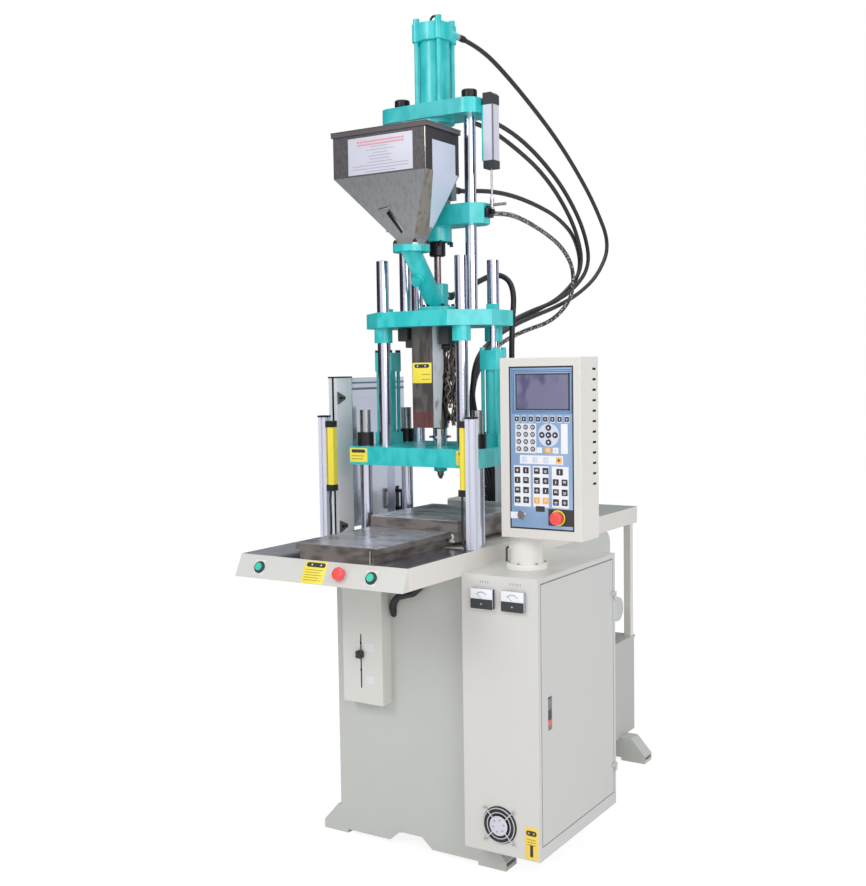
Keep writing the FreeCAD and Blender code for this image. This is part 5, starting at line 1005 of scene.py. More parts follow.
# ================================================================ hopper
@dataclass
class HopperDress:
    """Steel of the hopper with its bare plate, corner strip, slide gate and bolts."""

    nodes: Nodes
    front: float = -262.0
    right: float = 125.0
    neck: Point = (0.0, -193.0, 1985.0)     # where the cone's front starts
    brow: Point = (0.0, -262.0, 2186.0)     # where it ends

    def build(self) -> None:
        """Dress the hopper and its lid, and add what is fixed to them."""
        # the cone's lighter tone than the box's is painted reflection, as are the bands of both
        cone = ReflectionBanded((163, 166, 169), 0.36, 0.7, mottle=0.14, patch=9.0, grain=0.03, pitch=1.2,
                        second=(152, 156, 157), band=10.0, along=(1.0, 1.0, 3.4), share=0.4)
        box = ReflectionBanded((98, 94, 97), 0.36, 0.4, mottle=0.16, patch=10.0, grain=0.05, pitch=1.5,
                       second=(86, 82, 85), band=9.0, along=(1.0, 1.0, 1.6), share=0.45)
        # darker front part of the cone's right face: painted shade
        shaded_cone_side = ReflectionBanded((146, 138, 127), 0.36, 0.4, mottle=0.24, patch=12.0, second=(118, 111, 106),
                        band=16.0, along=(1.0, 1.0, 2.0), share=0.4)
        # bluish white: painted reflections on the right faces
        pale = Finish((204, 211, 230), 0.3, 0.1, mottle=0.03)
        right_face = (1.0, 0.0, -0.4428, -845.9)
        dress(self.nodes, Look("hopper_sheet", "hopper_steel", box, (
            Zone(Finish((106, 101, 103), 0.3, 0.4, mottle=0.1), z=(2315.8, 2331)),
            Zone(cone, z=(1960, 2185), soft=2.0),
            # the box's dark right face: painted shade
            Zone(Finish((58, 52, 55), 0.3, 0.5, mottle=0.15), x=(122, 140), z=(2186, 2318), y=(-262.5, -40),
                 soft=0.4),
            Zone(pale, x=(122, 140), y=(-221, -84), z=(2186, 2281), soft=1.5),
            Zone(shaded_cone_side, z=(1996, 2186), soft=2.0, cuts=(right_face, (0.0, -1.0, -0.532, -945.8))),
            Zone(pale, z=(2024, 2187), soft=2.0, cuts=(
                right_face, (0.0, 1.0, 0.532, 945.8), (0.0, -1.0, 0.185, 473.2))))), "hopper")
        self.lid()
        self.front_plate()
        self.slide_gate()
        self.bolts()

    def lid(self) -> None:
        """Make the lid as a plain sheet with its two hinge barrels, as flat as the photograph shows it."""
        shift = Vector((PLAN_X, PLAN_Y, 0.0))
        low, high = (Vector(corner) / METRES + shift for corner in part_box("hopper_lid"))
        shape = Shape()
        shape.block((low.x, low.y, 2330.5), (high.x, -52.5, 2332.5), 0.4)
        for x in (-120.0, 77.0):
            shape.rod((x, -51.5, 2330.5), (x + 30.0, -51.5, 2330.5), 5.0, 0, 20, 0.5)
        lid = shape.made("hopper_lid_sheet", Body.LID, Look("hopper_lid_sheet", "hopper_steel", Finish(
            (124, 122, 126), 0.3, 0.5, mottle=0.12, patch=40.0, grain=0.02)))
        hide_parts("hopper_lid")

    def front_plate(self) -> None:
        """Add the white plate on the front, with rows of dashes, and the bright corner strip."""
        middle, gap, pitch = -45.0, 2.6, 9.6
        shape = Shape()
        shape.plate((-168.0, 79.0), (2190.0, 2306.0), self.front + 0.2, 1.0, 0, 0.3)
        for row, half in enumerate((88, 88, 34, 50, 28, 44, 38, 48, 104, 104, 60)):
            heading = row < 2
            z, x, step = 2294 - pitch * row, middle - half, 0
            while x < middle + half:
                wide = (6.0, 4.0, 5.0)[(step + row) % 3] * (1.5 if heading else 1.0)
                shape.plate((x, x + wide), (z - (5.6 if heading else 3.0), z), self.front - 0.8, 0.2,
                            1 if heading else 2)
                x += wide + gap
                step += 1
        enamel = Look("name_plate", "white_plastic", Finish((206, 206, 219), 0.42, mottle=0.03))
        red, grey = (Look(name, "white_plastic", Finish(colour, 0.5, mottle=0.08, patch=6.0))
                     for name, colour in (("pale_red_print", (222, 140, 152)),
                                          ("pale_grey_print", (160, 158, 180))))
        shape.made("hopper_plate", Body.CARRIAGE, enamel, red, grey)
        strip = Shape()
        strip.block((self.right - 3, self.front - 1.0, 2187), (self.right + 1.0, self.front + 2, 2316), 0.8)
        strip.made("hopper_corner_strip", Body.CARRIAGE, Look("bright_strip", "stainless", Finish(
            (214, 206, 196), 0.18, 0.9, mottle=0.05, stretch=(1, 1, 8))))

    def slide_gate(self) -> None:
        """Add the gate's slot and its ledge on the cone's front, leaning with the cone."""
        shape = Shape()
        shape.slab([(-52, 2072), (-40, 2080), (-2, 2010), (-10, 2002)], 0.4, 1.0, 0, 0.3)
        shape.slab([(-40, 2080), (-34, 2083), (4, 2012), (-2, 2010)], 0.6, 2.4, 1, 0.5)
        shape.slab([(-76, 2083), (-30, 2088), (-30, 2094), (-76, 2089)], 0.6, 5.0, 1, 0.6)
        lean = math.atan2(self.neck[1] - self.brow[1], self.brow[2] - self.neck[2])
        shape.placed(Matrix.Translation(self.neck) @ Matrix.Rotation(lean, 4, "X")
                     @ Matrix.Translation((0.0, 0.0, -self.neck[2])))
        shape.made("hopper_slide_gate", Body.CARRIAGE, Finishes.BLACK_STEEL, Finishes.STEEL)

    def bolts(self) -> None:
        """Add the four bolts of the neck plate."""
        shape = Shape()
        for x in (-38.0, 38.0):
            for y in (-195.0, -119.0):
                shape.rod((x, y, 1970.5), (x, y, 1979), 6.5, 0, 6, 0.8)
                shape.rod((x, y, 1978.5), (x, y, 1983), 3.8, 0, 12, 0.5)
        shape.made("hopper_neck_bolts", Body.CARRIAGE, Finishes.BLACK_STEEL)


# ================================================================ barrel cover and wiring
@dataclass
class BarrelDress:
    """Barrel cover, its bare yellow plate, and the heaters' wiring behind it."""

    nodes: Nodes
    front: float = -104.0

    def build(self) -> None:
        """Dress the cover and add its plate, wires and cap screws."""
        sheet = (-106, -102.4)      # y of the cover's front
        # polished cover steel whose darker bands are painted reflections
        mirror_reflections = ReflectionBanded((126, 119, 117), 0.2, 0.4, mottle=0.16, patch=26.0, grain=0.01, second=(98, 92, 92),
                          band=30.0, along=(0.7, 1.0, 3.0), share=0.5)
        # the cover's right flank, raised to near white as painted light where it faces into shade, with
        # painted reflection bands
        painted_light_wing = ReflectionBanded((244, 240, 244), 0.24, 0.0, mottle=0.08, second=(150, 144, 146), band=60.0,
                        along=(1.0, 0.6, 1.2), share=0.32)
        dress(self.nodes, Look("barrel_cover_steel", "stainless", mirror_reflections, (
            Zone(Finish((132, 58, 62), 0.28, 0.3, mottle=0.2, patch=20.0), y=sheet, z=(1370, 1428), soft=9.0),
            Zone(Finish((60, 52, 54), 0.25, 0.4), y=sheet, x=(-34, -8), z=(1440, 1474), soft=16.0),
            Zone(painted_light_wing, x=(38.2, 42), y=(-102.4, 0)))), "barrel_cover")
        shape = Shape()
        Label((-38, 36), (1523, 1590), 3.0, ((-30, 27), (1573, 1585), 5.5),
              (((-2, 30), (1550, 1553)), ((-2, 30), (1534, 1537))), (-18, 12), (1579, 2.6, 0.9),
              thick=0.9, line_look=3, dot_look=2).add(shape, self.front)
        shape.made("cover_plate", Body.CARRIAGE, Finishes.YELLOW, Finishes.PLASTIC, Finishes.WHITE,
                   Finishes.OLIVE)
        self.wires()
        self.terminals()
        self.cap_screws()

    def wires(self) -> None:
        """Add the heaters' leads: short bundles that run down beside the barrel to each band's terminals."""
        knots, sizes = 12, (3.4, 2.4, 2.8)
        shape = Shape()
        for k in range(28):
            x, y = 46.0 + 5.0 * (k % 5), -36.0 + 3.3 * k
            top, low = 1704.0 - 18 * (k % 3), 1380.0 + 30 * (k % 4)
            last = (x, y, top)
            for i in range(1, knots + 1):
                here = (x + 7.0 * math.sin(1.9 * i + 2.1 * k), y + 6.0 * math.cos(2.6 * i + 1.3 * k),
                        top + (low - top) * i / knots)
                shape.rod(last, here, sizes[k % 3], k % 3, 7)
                last = here
        for z in (1396.0, 1478.0, 1560.0, 1640.0):
            shape.block((28, -12, z), (60, 16, z + 20), 2.0, 3)
            shape.block((30, 24, z - 6), (58, 46, z + 26), 2.0, 4)
            shape.rod((34, -2, z + 10), (66, -6, z + 10), 4.0, 2, 10)
        shape.made("heater_wiring", Body.CARRIAGE, Finishes.PLASTIC,
                   Look("copper_wire", "steel", Finish((136, 100, 80), 0.4, 0.5, mottle=0.2, patch=10.0)),
                   Look("pale_lead", "white_plastic", Finish((150, 144, 138), 0.5, mottle=0.1)),
                   Finishes.BLACK_STEEL, Finishes.STEEL)

    def terminals(self) -> None:
        """Add the terminal boxes under the upper plate."""
        shape = Shape()
        shape.block((-104, -92, 1662), (-66, -52, 1706), 3.0)
        shape.block((-78, -86, 1640), (-52, -60, 1668), 3.0)
        shape.block((54, -88, 1648), (92, -44, 1706), 3.0)
        shape.rod((58, -70, 1640), (86, -70, 1640), 9.0, 1, 16, 1.0)
        shape.made("plate_terminal_boxes", Body.CARRIAGE, Finishes.PLASTIC, Finishes.BLACK_STEEL)

    def cap_screws(self) -> None:
        """Add the boss's cap screws round the throat and those of the crosshead's corners."""
        shape = Shape()
        for x, y in around(6, 50.0, 20.0):
            shape.rod((x, y, 1775.5), (x, y, 1784), 5.5, 0, 16, 0.8)
            shape.rod((x, y, 1783.5), (x, y, 1784.4), 2.8, 1, 6)
        shape.made("boss_screws", Body.CARRIAGE, Finishes.BLACK_STEEL, Finishes.PLASTIC)
        plug = Shape()
        plug.block((191.8, -18, 2056), (206, 22, 2088), 3.0)
        plug.rod((206, 2, 2074), (218, 2, 2074), 8.0, 0, 16, 1.0)
        for x, y in ((-34, -34), (34, -34), (-34, 34), (34, 34)):
            plug.rod((x, y, 1975), (x, y, 1991), 6.0, 0, 6, 0.8)
        plug.made("crosshead_connector", Body.CROSSHEAD, Finishes.BLACK_STEEL)


# ================================================================ clamp and sliding table
@dataclass
class ClampDress:
    """Bare yellow plates and screws of the middle platen and the upper plate."""

    front: float = -180.0

    def build(self) -> None:
        """Add plates and screws."""
        shape = Shape()
        for x in ((-245.0, -174.0), (171.0, 245.0)):
            left, right = sum(x) / 2 - 28, sum(x) / 2 + 28
            lines = (((left, right - 4), (1282, 1285)), ((left, right - 10), (1272, 1275)))
            Label(x, (1263.0, 1309.0), 2.5, ((left, right), (1294, 1305), 5.0), lines).add(shape, self.front)
        shape.made("platen_plates", Body.CLAMP, Finishes.YELLOW, Finishes.PLASTIC, Finishes.OLIVE)
        screws = Shape()
        for x in (-230.0, -186.0, 186.0, 230.0):
            for y in (-24.0, 24.0):
                screws.rod((x, y, 1354), (x, y, 1362), 5.0, 0, 16, 0.8)
        screws.made("cylinder_foot_screws", Body.CLAMP, Finishes.BLACK_STEEL)


@dataclass
class TableDress:
    """Small parts of the sliding table: its number, stop pin, ring and the conduits behind it."""

    front: float = -185.0

    def build(self) -> None:
        """Add the parts."""
        self.number()
        shape = Shape()
        shape.turned([(14.2, 0), (17.0, 0), (17.0, 0.4), (14.2, 0.4)], (0, -395, 1051.8))
        shape.made("rail_hole_ring", Body.FRAME, Finishes.CHROME)
        pin = Shape()
        pin.rod((127, -596, 1006), (127, -596, 1044), 2.2, 0, 12, 0.6)
        pin.made("rail_stop_pin", Body.FRAME, Finishes.STEEL)
        self.conduits()
        rims = Shape()
        for x in (-120, 120):
            for y in (-100, 100):
                rims.turned([(5.2, 0), (7.0, 0), (7.0, 0.3), (5.4, 0.3)], (x, y, 1086.0), sides=20)
        rims.made("bolt_hole_rims", Body.TABLE, Finishes.BLACK_STEEL)

    def number(self) -> None:
        """Add the plain painted number on the block's front."""
        text = bpy.data.curves.new("block_number_text", "FONT")
        text.body = "2"
        text.size = 0.033
        text.extrude = 0.0002
        text.offset = 0.0024
        mesh = meshed(text)
        mesh.name = "block_number"
        mesh.transform(Matrix.Translation(at(146, self.front - 0.3, 1019))
                       @ Matrix.Rotation(math.pi / 2, 4, "X"))
        look = Look("number_paint", "white_plastic", Finish((255, 255, 255), 0.5))
        mesh.materials.append(look.material())
        piece = added("block_number", mesh)
        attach(piece, Body.TABLE.value)

    def conduits(self) -> None:
        """Add the corrugated conduits that lie across the rail behind the block."""
        rings, end = 24, 58.0
        shape = Shape()
        for y, z, start in ((222.0, 1061, -112.0), (246.0, 1064, -92.0)):
            for i in range(rings):
                x = start + (end - start) * i / rings
                shape.rod((x, y, z), (x + 4.0, y, z), 8.5, 0, 14, 0.6)
                shape.rod((x + 3.5, y, z), (x + 7.5, y, z), 7.0, 0, 14)
        shape.block((-132, 214, 1052.2), (-104, 258, 1078), 3.0, 1)
        shape.made("rail_conduits", Body.FRAME, Finishes.PLASTIC, Finishes.BLACK_STEEL)


@dataclass
class Fascia:
    """Button plates, rings and the bare yellow plate on the table's leaning front."""

    middle: float = 968.0
    top: Range = (-592.0, 1002.0)       # y and z of the fascia's upper edge
    foot: Range = (-625.0, 936.0)

    def fixed(self, shape: Shape, x: float) -> None:
        """Place a shape made round the origin on the leaning face, at half its height.

        Args:
            shape: the shape, its -Y outwards.
            x: where its middle comes.
        """
        (top_y, top_z), (foot_y, foot_z) = self.top, self.foot
        y = foot_y + (top_y - foot_y) * (self.middle - foot_z) / (top_z - foot_z)
        lean = math.atan2(top_y - foot_y, top_z - foot_z)
        shape.placed(Matrix.Translation((x, y, self.middle)) @ Matrix.Rotation(-lean, 4, "X"))

    def build(self) -> None:
        """Add what is fixed to the fascia."""
        for x, name in ((-280.0, "left"), (140.0, "right")):
            ring = Shape()
            ring.plate((-24, 18), (-24, 24), 0.2, 0.8, 1, 0.2, 4.0)
            ring.turned([(12.6, -0.2), (19.0, -0.2), (19.0, 3.0), (17.5, 6.0), (14.0, 6.6), (12.6, 6.0)],
                        MIDDLE, FORWARDS, 0, 36)
            self.fixed(ring, x)
            ring.made(f"button_{name}_ring", Body.FRAME, Finishes.PLASTIC, Look(
                "button_backing", "white_plastic", Finish((222, 222, 222), 0.45, mottle=0.02)))
        stop = Shape()
        stop.turned([(10.2, -0.2), (22.0, -0.2), (22.0, 1.6), (20.5, 2.4), (10.2, 2.4)],
                    MIDDLE, FORWARDS, 0, 36)
        self.fixed(stop, 30.0)
        stop.made("table_stop_ring", Body.FRAME, Look("pale_grey_plastic", "white_plastic", Finish(
            (206, 206, 212), 0.4, mottle=0.04)))
        plate = Shape()
        Label((-41, 41), (-34, 35), 2.5, ((-34, 36), (17, 31), 6.5),
              tuple(((-34, 30 - 9 * (row % 2)), (7 - 8 * row, 9.5 - 8 * row)) for row in range(5)),
              (-14, 20), (24, 2.6, 0.8), thick=0.7, bar_thick=0.3).add(plate, 0.0)
        self.fixed(plate, -69.0)
        plate.made("fascia_plate", Body.FRAME, Finishes.YELLOW, Finishes.PLASTIC, Finishes.OLIVE,
                   Finishes.WHITE)


# ================================================================ electric cabinet
@dataclass
class CabinetDress:
    """Meter faces, bare plates, fan hub and screws on the cabinet's front."""

    front: float = -300.0
    meter_z: float = 875.0
    half: Range = (37.5, 30.5)      # of a meter's width and height
    fan: Range = (381.0, 183.0)

    def build(self) -> None:
        """Add what is fixed to the cabinet."""
        self.meter(334.0, "left")
        self.meter(439.5, "right")
        self.fan_hub()
        self.plates()

    def meter(self, x: float, name: str) -> None:
        """Add a meter's white dial with its scale and pointer, and the dark lower half.

        Args:
            x: middle of the meter.
            name: which of the two it is.
        """
        y, z = self.front - 14.0, self.meter_z
        wide, tall = self.half
        first, sweep, radius, ticks, steps = 140.0, 100.0, 21.0, 12, 16     # of the scale, angles in degrees

        def on_dial(share: float, out: float) -> Point:
            """Place on the dial at a share of the scale, so far from the pointer's pivot."""
            turn = math.radians(first - sweep * share)
            return x + out * math.cos(turn), y - 1.1, z - 1 + out * math.sin(turn)

        shape = Shape()
        shape.plate((x - wide, x + wide), (z - 0.5, z + tall), y + 0.2, 1.2, 0, 0.4)
        shape.plate((x - wide, x + wide), (z - tall, z - 0.5), y + 0.2, 2.4, 1, 0.8)
        shape.block((x - wide, y, z - tall), (x + wide, self.front - 0.1, z + tall), 0.8, 3)
        for i in range(ticks + 1):
            shape.rod(on_dial(i / ticks, radius), on_dial(i / ticks, 23.5 if i % 3 else 25.5), 0.45, 2, 6)
        for i in range(steps):
            shape.rod(on_dial(i / steps, radius), on_dial((i + 1) / steps, radius), 0.5, 2, 6)
        shape.rod((x, y - 1.3, z), (x - 15, y - 1.3, z + 16), 0.5, 2, 6)
        shape.disc(x, z - 15, y - 2.2, 2.6, 0.8, 3, 12)
        shape.made(f"meter_{name}_face", Body.FRAME, Finishes.WHITE, Finishes.PLASTIC,
                   Look("dial_print", "white_plastic", Finish((96, 100, 110), 0.5)), Finishes.METER)

    def fan_hub(self) -> None:
        """Add the bright plate in the middle of the finger guard, the guard's dark backing and its screws."""
        x, z = self.fan
        shape = Shape()
        shape.turned([(0.01, 0), (30.5, 0), (30.5, 1.2), (28.0, 2.0), (0.01, 2.0)], (x, self.front - 8.2, z),
                     FORWARDS, 0, 40)
        for dx, dz in around(6, 19.0, 15.0):
            shape.disc(x + dx, z + dz, self.front - 10.0, 3.6, 0.3, 2, 10)
        shape.turned([(30.0, 0), (58.0, 0), (58.0, 0.8), (30.0, 0.8)], (x, self.front - 0.1, z),
                     FORWARDS, 1, 48)
        for dx, dz in around(4, 69.0, 45.0):
            shape.disc(x + dx, z + dz, self.front - 8.2, 3.6, 1.6, 3, 12)
        shape.made("fan_centre_plate", Body.FRAME,
                   Look("fan_centre", "aluminium_post", Finish((206, 208, 220), 0.3, 0.4, mottle=0.05)),
                   Finishes.PLASTIC, Look("rose_print", "white_plastic", Finish((196, 142, 176), 0.5)),
                   Finishes.STEEL)

    def plates(self) -> None:
        """Add the yellow plate low on the cabinet, and the small marks over the meters."""
        shape = Shape()
        Label((467, 511), (98, 196), 2.0, ((471, 506), (170, 186), 7.5),
              tuple(((474, 503), (157 - 8 * row, 160 - 8 * row)) for row in range(3)), (480, 497),
              (178, 3.6, 0.8), dot_look=2).add(shape, self.front)
        shape.plate((484, 494), (106, 142), self.front - 0.6, 0.2, 1)
        shape.made("cabinet_plate", Body.FRAME, Look("amber_plate", "yellow_unit", Finish(
            (244, 208, 84), 0.42, mottle=0.03)), Finishes.PLASTIC, Finishes.OLIVE)
        marks = Shape()
        for x0, count in ((322.0, 4), (424.0, 5)):
            for i in range(count):
                marks.plate((x0 + i * 8.5, x0 + i * 8.5 + 3.2), (921, 928), self.front + 0.2, 0.35)
        marks.made("meter_marks", Body.FRAME, Look("mark_print", "beige_sheet", Finish((160, 160, 172), 0.5)))


# ================================================================ pendant
@dataclass
class PendantDress:
    """Key panel, screen, keys and trim of the pendant."""

    nodes: Nodes
    face: float = -203.0        # y of the sunk panel

    def build(self) -> None:
        """Dress the case and add the panel."""
        dress(self.nodes, Look("pendant_case", "beige_sheet", BEIGE, (
            Zone(PLASTIC, x=(376.2, 591.8), y=(-203.5, -190), z=(1079.2, 1571.8)),
            Zone(PLASTIC, x=(608, 616), y=(-121, -97), z=(1212.6, 1566), rows=(31.4, 7.0)))), "pendant")
        self.sheet()
        self.keys()
        self.controls()

    def sheet(self) -> None:
        """Add the blue sheet with the stepped frame round the screen, and the screen's glass."""
        shape = Shape()
        shape.plate((381.0, 587.0), (1084.0, 1567.0), self.face + 0.1, 0.8, 0, 0.2)
        for x, z, width, look in (((386.0, 586.0), (1431.0, 1561.0), 1.6, 1),
                                  ((391.0, 581.0), (1436.0, 1556.0), 1.6, 1),
                                  ((399.0, 579.0), (1440.0, 1550.0), 4.0, 2)):
            for xs, zs in ((x, (z[0], z[0] + width)), (x, (z[1] - width, z[1])), ((x[0], x[0] + width), z),
                           ((x[1] - width, x[1]), z)):
                shape.plate(xs, zs, self.face - 0.7, 0.5, look)
        shape.plate((404.0, 575.0), (1444.0, 1546.0), self.face - 0.6, 0.5, 3)
        shape.plate((464, 494), (1134, 1151), self.face - 0.6, 0.5, 2)
        # blue sheet whose lighter bands are painted reflections
        blue = ReflectionBanded((132, 162, 198), 0.4, mottle=0.05, patch=120.0, second=(156, 178, 208), band=120.0,
                        along=(1.0, 1.0, 2.0), share=0.4)
        # screen glass whose darker bands are painted reflections
        glass = ReflectionBanded((124, 123, 150), 0.1, mottle=0.1, patch=60.0, second=(97, 92, 126), band=46.0,
                         along=(0.8, 1.0, 1.6), share=0.42)
        shape.made("pendant_panel", Body.PENDANT, Look("panel_sheet", "black_plastic", blue),
                   Look("panel_line", "black_plastic", Finish((60, 80, 130), 0.4)), Finishes.PLASTIC,
                   Look("screen_glass", "black_plastic", glass, coat=0.6))

    def keys(self) -> None:
        """Add the keys, row by row, each with a generic mark."""
        dark, pale, white, orange, light = range(5)
        shape = Shape()
        y = self.face - 0.6

        def mark(x: Range, z: Range, look: int) -> None:
            """Add one bar of a key's mark."""
            shape.plate(x, z, y - 1.6, 0.3, look)

        def key(x: float, z: float, wide: float, tall: float, look: int, print_look: int) -> None:
            """Add one raised key with a small mark in its middle.

            Args:
                x: its middle.
                z: its middle.
                wide: its width.
                tall: its height.
                look: number of its look.
                print_look: number of its mark's look.
            """
            shape.plate((x - wide / 2, x + wide / 2), (z - tall / 2, z + tall / 2), y, 1.6, look, 0.4, 1.6, 3)
            half = wide * 0.26
            style = int(x + z * 0.37) % 4
            if style != 1:
                mark((x - half, x + half), (z - 1.3, z + 1.3), print_look)
            if style in (0, 1):
                mark((x - 1.3, x + 1.3), (z - half, z + half), print_look)
            if style == 2:
                mark((x - half, x + half), (z + 3.0, z + 5.0), print_look)
            if style == 3:
                shape.slab([(x - half, z - 5.5), (x + half, z - 5.5), (x, z - 2.5)], y - 1.6, 0.3, print_look)

        for i in range(8):
            shape.plate((395.5 + 23.9 * i, 410.5 + 23.9 * i), (1403, 1424), y, 0.4, pale)
            key(403 + 23.9 * i, 1413.5, 13.0, 15.0, dark, pale)
        shape.plate((397, 468), (1310, 1400), y, 0.4, pale)
        for row in range(4):
            for column in range(3):
                x, z = 409 + 23.5 * column, 1389 - 22.0 * row
                shape.disc(x, z, y - 0.3, 7.4, 1.4, dark, 18)
                shape.disc(x, z, y - 1.6, 4.2, 0.3, pale, 14)
                shape.plate((x - 1, x + 1), (z - 3, z + 3), y - 1.8, 0.2, dark)
        self.arrows(shape, 509, 1366, y, (dark, white, light))
        shape.plate((550, 572), (1311, 1400), y, 0.5, white)
        for x, wide, look in ((478, 18.0, white), (506, 20.0, orange), (532, 18.0, white)):
            key(x, 1320, wide, 17.0, look, pale)
        shape.plate((412, 556), (1278, 1304), y, 0.5, white)
        for x in (428, 464, 500):
            key(x, 1291, 17.0, 17.0, light, pale)
        key(543, 1291, 18.0, 18.0, orange, dark)
        for x in ((391, 447), (456, 508), (519, 574)):
            shape.plate(x, (1148, 1272), y, 0.5, white)
        for x0 in (403.0, 469.0):
            for row in range(4):
                for column in range(2):
                    last = row == 3 and x0 == 469.0
                    key(x0 + 29 * column, 1258 - 30.0 * row, 19.0, 19.0, orange if last else dark, pale)
        key(545, 1256, 21.0, 19.0, dark, pale)
        for row in range(3):
            for column in range(2):
                key(532 + 29 * column, 1225 - 30.0 * row, 19.0, 19.0, dark, pale)
        shape.made("pendant_keys", Body.PENDANT,
                   Look("key_black", "black_plastic", Finish((52, 50, 56), 0.4)),
                   Look("key_pale", "white_plastic", Finish((222, 224, 232), 0.45)), Finishes.WHITE,
                   Look("key_orange", "yellow_unit", Finish((246, 178, 78), 0.42)),
                   Look("key_light", "white_plastic", Finish((206, 214, 232), 0.45)))

    def arrows(self, shape: Shape, x: float, z: float, y: float, looks: tuple[int, int, int]) -> None:
        """Add the round field of arrow keys.

        Args:
            shape: the shape that takes it.
            x: its middle.
            z: its middle.
            y: the panel's face.
            looks: numbers of the looks of keys, arrows and field.
        """
        keys, marks, field = looks
        shape.disc(x, z, y, 35.0, 0.4, field, 40)
        for dx, dz in ((0, 22), (-22, 0), (22, 0), (0, -22), (0, 0)):
            shape.disc(x + dx, z + dz, y - 0.3, 9.0, 1.5, keys, 18)
            turn = math.atan2(dz, dx) if dx or dz else 0.0
            shape.slab([(x + dx + 4.6 * math.cos(turn + a), z + dz + 4.6 * math.sin(turn + a))
                        for a in map(math.radians, (0, 130, 230))], y - 1.8, 0.3, marks)

    def controls(self) -> None:
        """Add the plates and rings under the key switch and the stop button."""
        shape = Shape()
        y = self.face - 0.6
        shape.plate((378, 404), (1110, 1130), y, 0.4, radius=2.0)
        shape.turned([(10.4, 0), (14.0, 0), (14.0, 2.2), (12.0, 3.6), (10.4, 3.6)], (416, self.face, 1121),
                     FORWARDS, 1, 28)
        shape.plate((506, 589), (1094, 1144), y + 0.2, 0.6, 3)
        shape.disc(538, 1118, y - 0.4, 24.0, 0.5, 2, 40)
        shape.turned([(12.8, 0), (19.0, 0), (19.0, 0.8), (18.0, 1.2), (12.8, 1.2)],
                     (538, self.face - 0.8, 1118), FORWARDS, 3, 32)
        shape.made("pendant_control_plates", Body.PENDANT, Finishes.WHITE, Finishes.STEEL, Finishes.YELLOW,
                   Finishes.PLASTIC)


# ================================================================ guard, curtain and body fittings
@dataclass
class BodyDress:
    """Brackets of the guard, caps and cables of the light curtain, and the body's screws and plates."""

    # radius and places of each run of cable
    runs: tuple[tuple[float, tuple[Point, ...]], ...] = (
        (3.6, ((-318, -192, 1166), (-320, -196, 1130), (-316, -198, 1080), (-318, -196, 1030),
               (-322, -192, 1001))),
        (3.6, ((211, -212, 1172), (213, -216, 1130), (212, -216, 1070), (214, -216, 1040),
               (222, -226, 1020), (226, -222, 1001))),
        (11.0, ((80, -228, 930), (72, -230, 896), (58, -232, 870), (34, -234, 850), (4, -234, 842),
                (-24, -232, 834), (-42, -230, 818), (-50, -226, 796), (-52, -217, 772))))

    def build(self) -> None:
        """Add the parts."""
        self.brackets()
        self.caps()
        self.cables()
        self.fittings()

    def brackets(self) -> None:
        """Add the dark brackets on the guard's post."""
        face = -340.2
        shape = Shape()
        for z in (1474.0, 1030.0):
            shape.slab([(-119.0, z - 22), (-76.0, z - 5), (-76.0, z + 5), (-119.0, z + 22)], face, 5.0,
                       0, 1.2, Facing.RIGHT)
            shape.rod((face + 4.8, -106, z), (-330.0, -106, z), 5.0, 1, 12, 0.8)
            shape.rod((face + 4.8, -88, z), (-331.0, -88, z), 3.6, 1, 12, 0.8)
        shape.made("guard_brackets", Body.FRAME, Look("dark_bracket", "blue_grey_cast", Finish(
            (104, 108, 104), 0.4, 0.3, mottle=0.2, patch=8.0)), Finishes.BLACK_STEEL)

    def caps(self) -> None:
        """Add the dark caps on the posts' ends."""
        shape = Shape()
        for x, y in ((-351.0, -180.0), (240.0, -200.0)):
            shape.block((x - 16.5, y - 16.5, 1411.2), (x + 16.5, y + 16.5, 1417.4), 1.0)
        shape.block((-374.0, -126.0, 1543.0), (-338.0, -32.5, 1548.0), 1.0)
        shape.made("post_caps", Body.FRAME, Finishes.BLACK_STEEL)

    def cables(self) -> None:
        """Add the cables of the light curtain, clipped along their posts, and the elbow under the table."""
        shape = Shape()
        for radius, run in self.runs:
            slant = radius * 0.7
            for start, end in zip(run, run[1:]):
                shape.rod(start, end, radius, 0, 14)
                shape.turned([(0.01, -radius), (slant, -slant), (radius, 0), (slant, slant),
                              (0.01, radius)], end, UPWARDS, 0, 14)
        shape.made("machine_cables", Body.FRAME, Finishes.RUBBER)

    def fittings(self) -> None:
        """Add screws of the slot box and column, and the slot box's small plates."""
        front = -269.9
        shape = Shape()
        for z in (676.0, 587.0):
            shape.disc(-150.0, z, front, 4.2, 0.35, 0, 14)
        for z in ((650.0, 677.0), (545.0, 570.0)):
            shape.plate((-133.0, -97.0), z, front, 0.5, 1, radius=6.0)
        for dx, dy in around(6, 57.0, -30.0):
            shape.rod((388 + dx, dy - 120, 961), (388 + dx, dy - 120, 967), 4.0, 2, 14, 0.7)
        pale = Look("pale_plate", "white_plastic", Finish((220, 220, 222), 0.45, mottle=0.03))
        shape.made("body_screws", Body.FRAME, Finishes.BLACK_STEEL, pale, Finishes.STEEL)


# ================================================================ studio
@dataclass(frozen=True)
class Lamp:
    """Round soft lamp that looks at the machine's middle; metres and watts."""

    name: str
    place: Point
    size: float
    power: float

    def build(self) -> None:
        """Make the lamp."""
        data = bpy.data.lights.new(self.name, "AREA")
        data.shape = "DISK"
        data.size = self.size
        data.energy = self.power
        lamp = added(self.name, data)
        lamp.location = self.place
        aim = Vector(LAMP_AIM) - Vector(self.place)
        lamp.rotation_euler = aim.to_track_quat("-Z", "Y").to_euler()


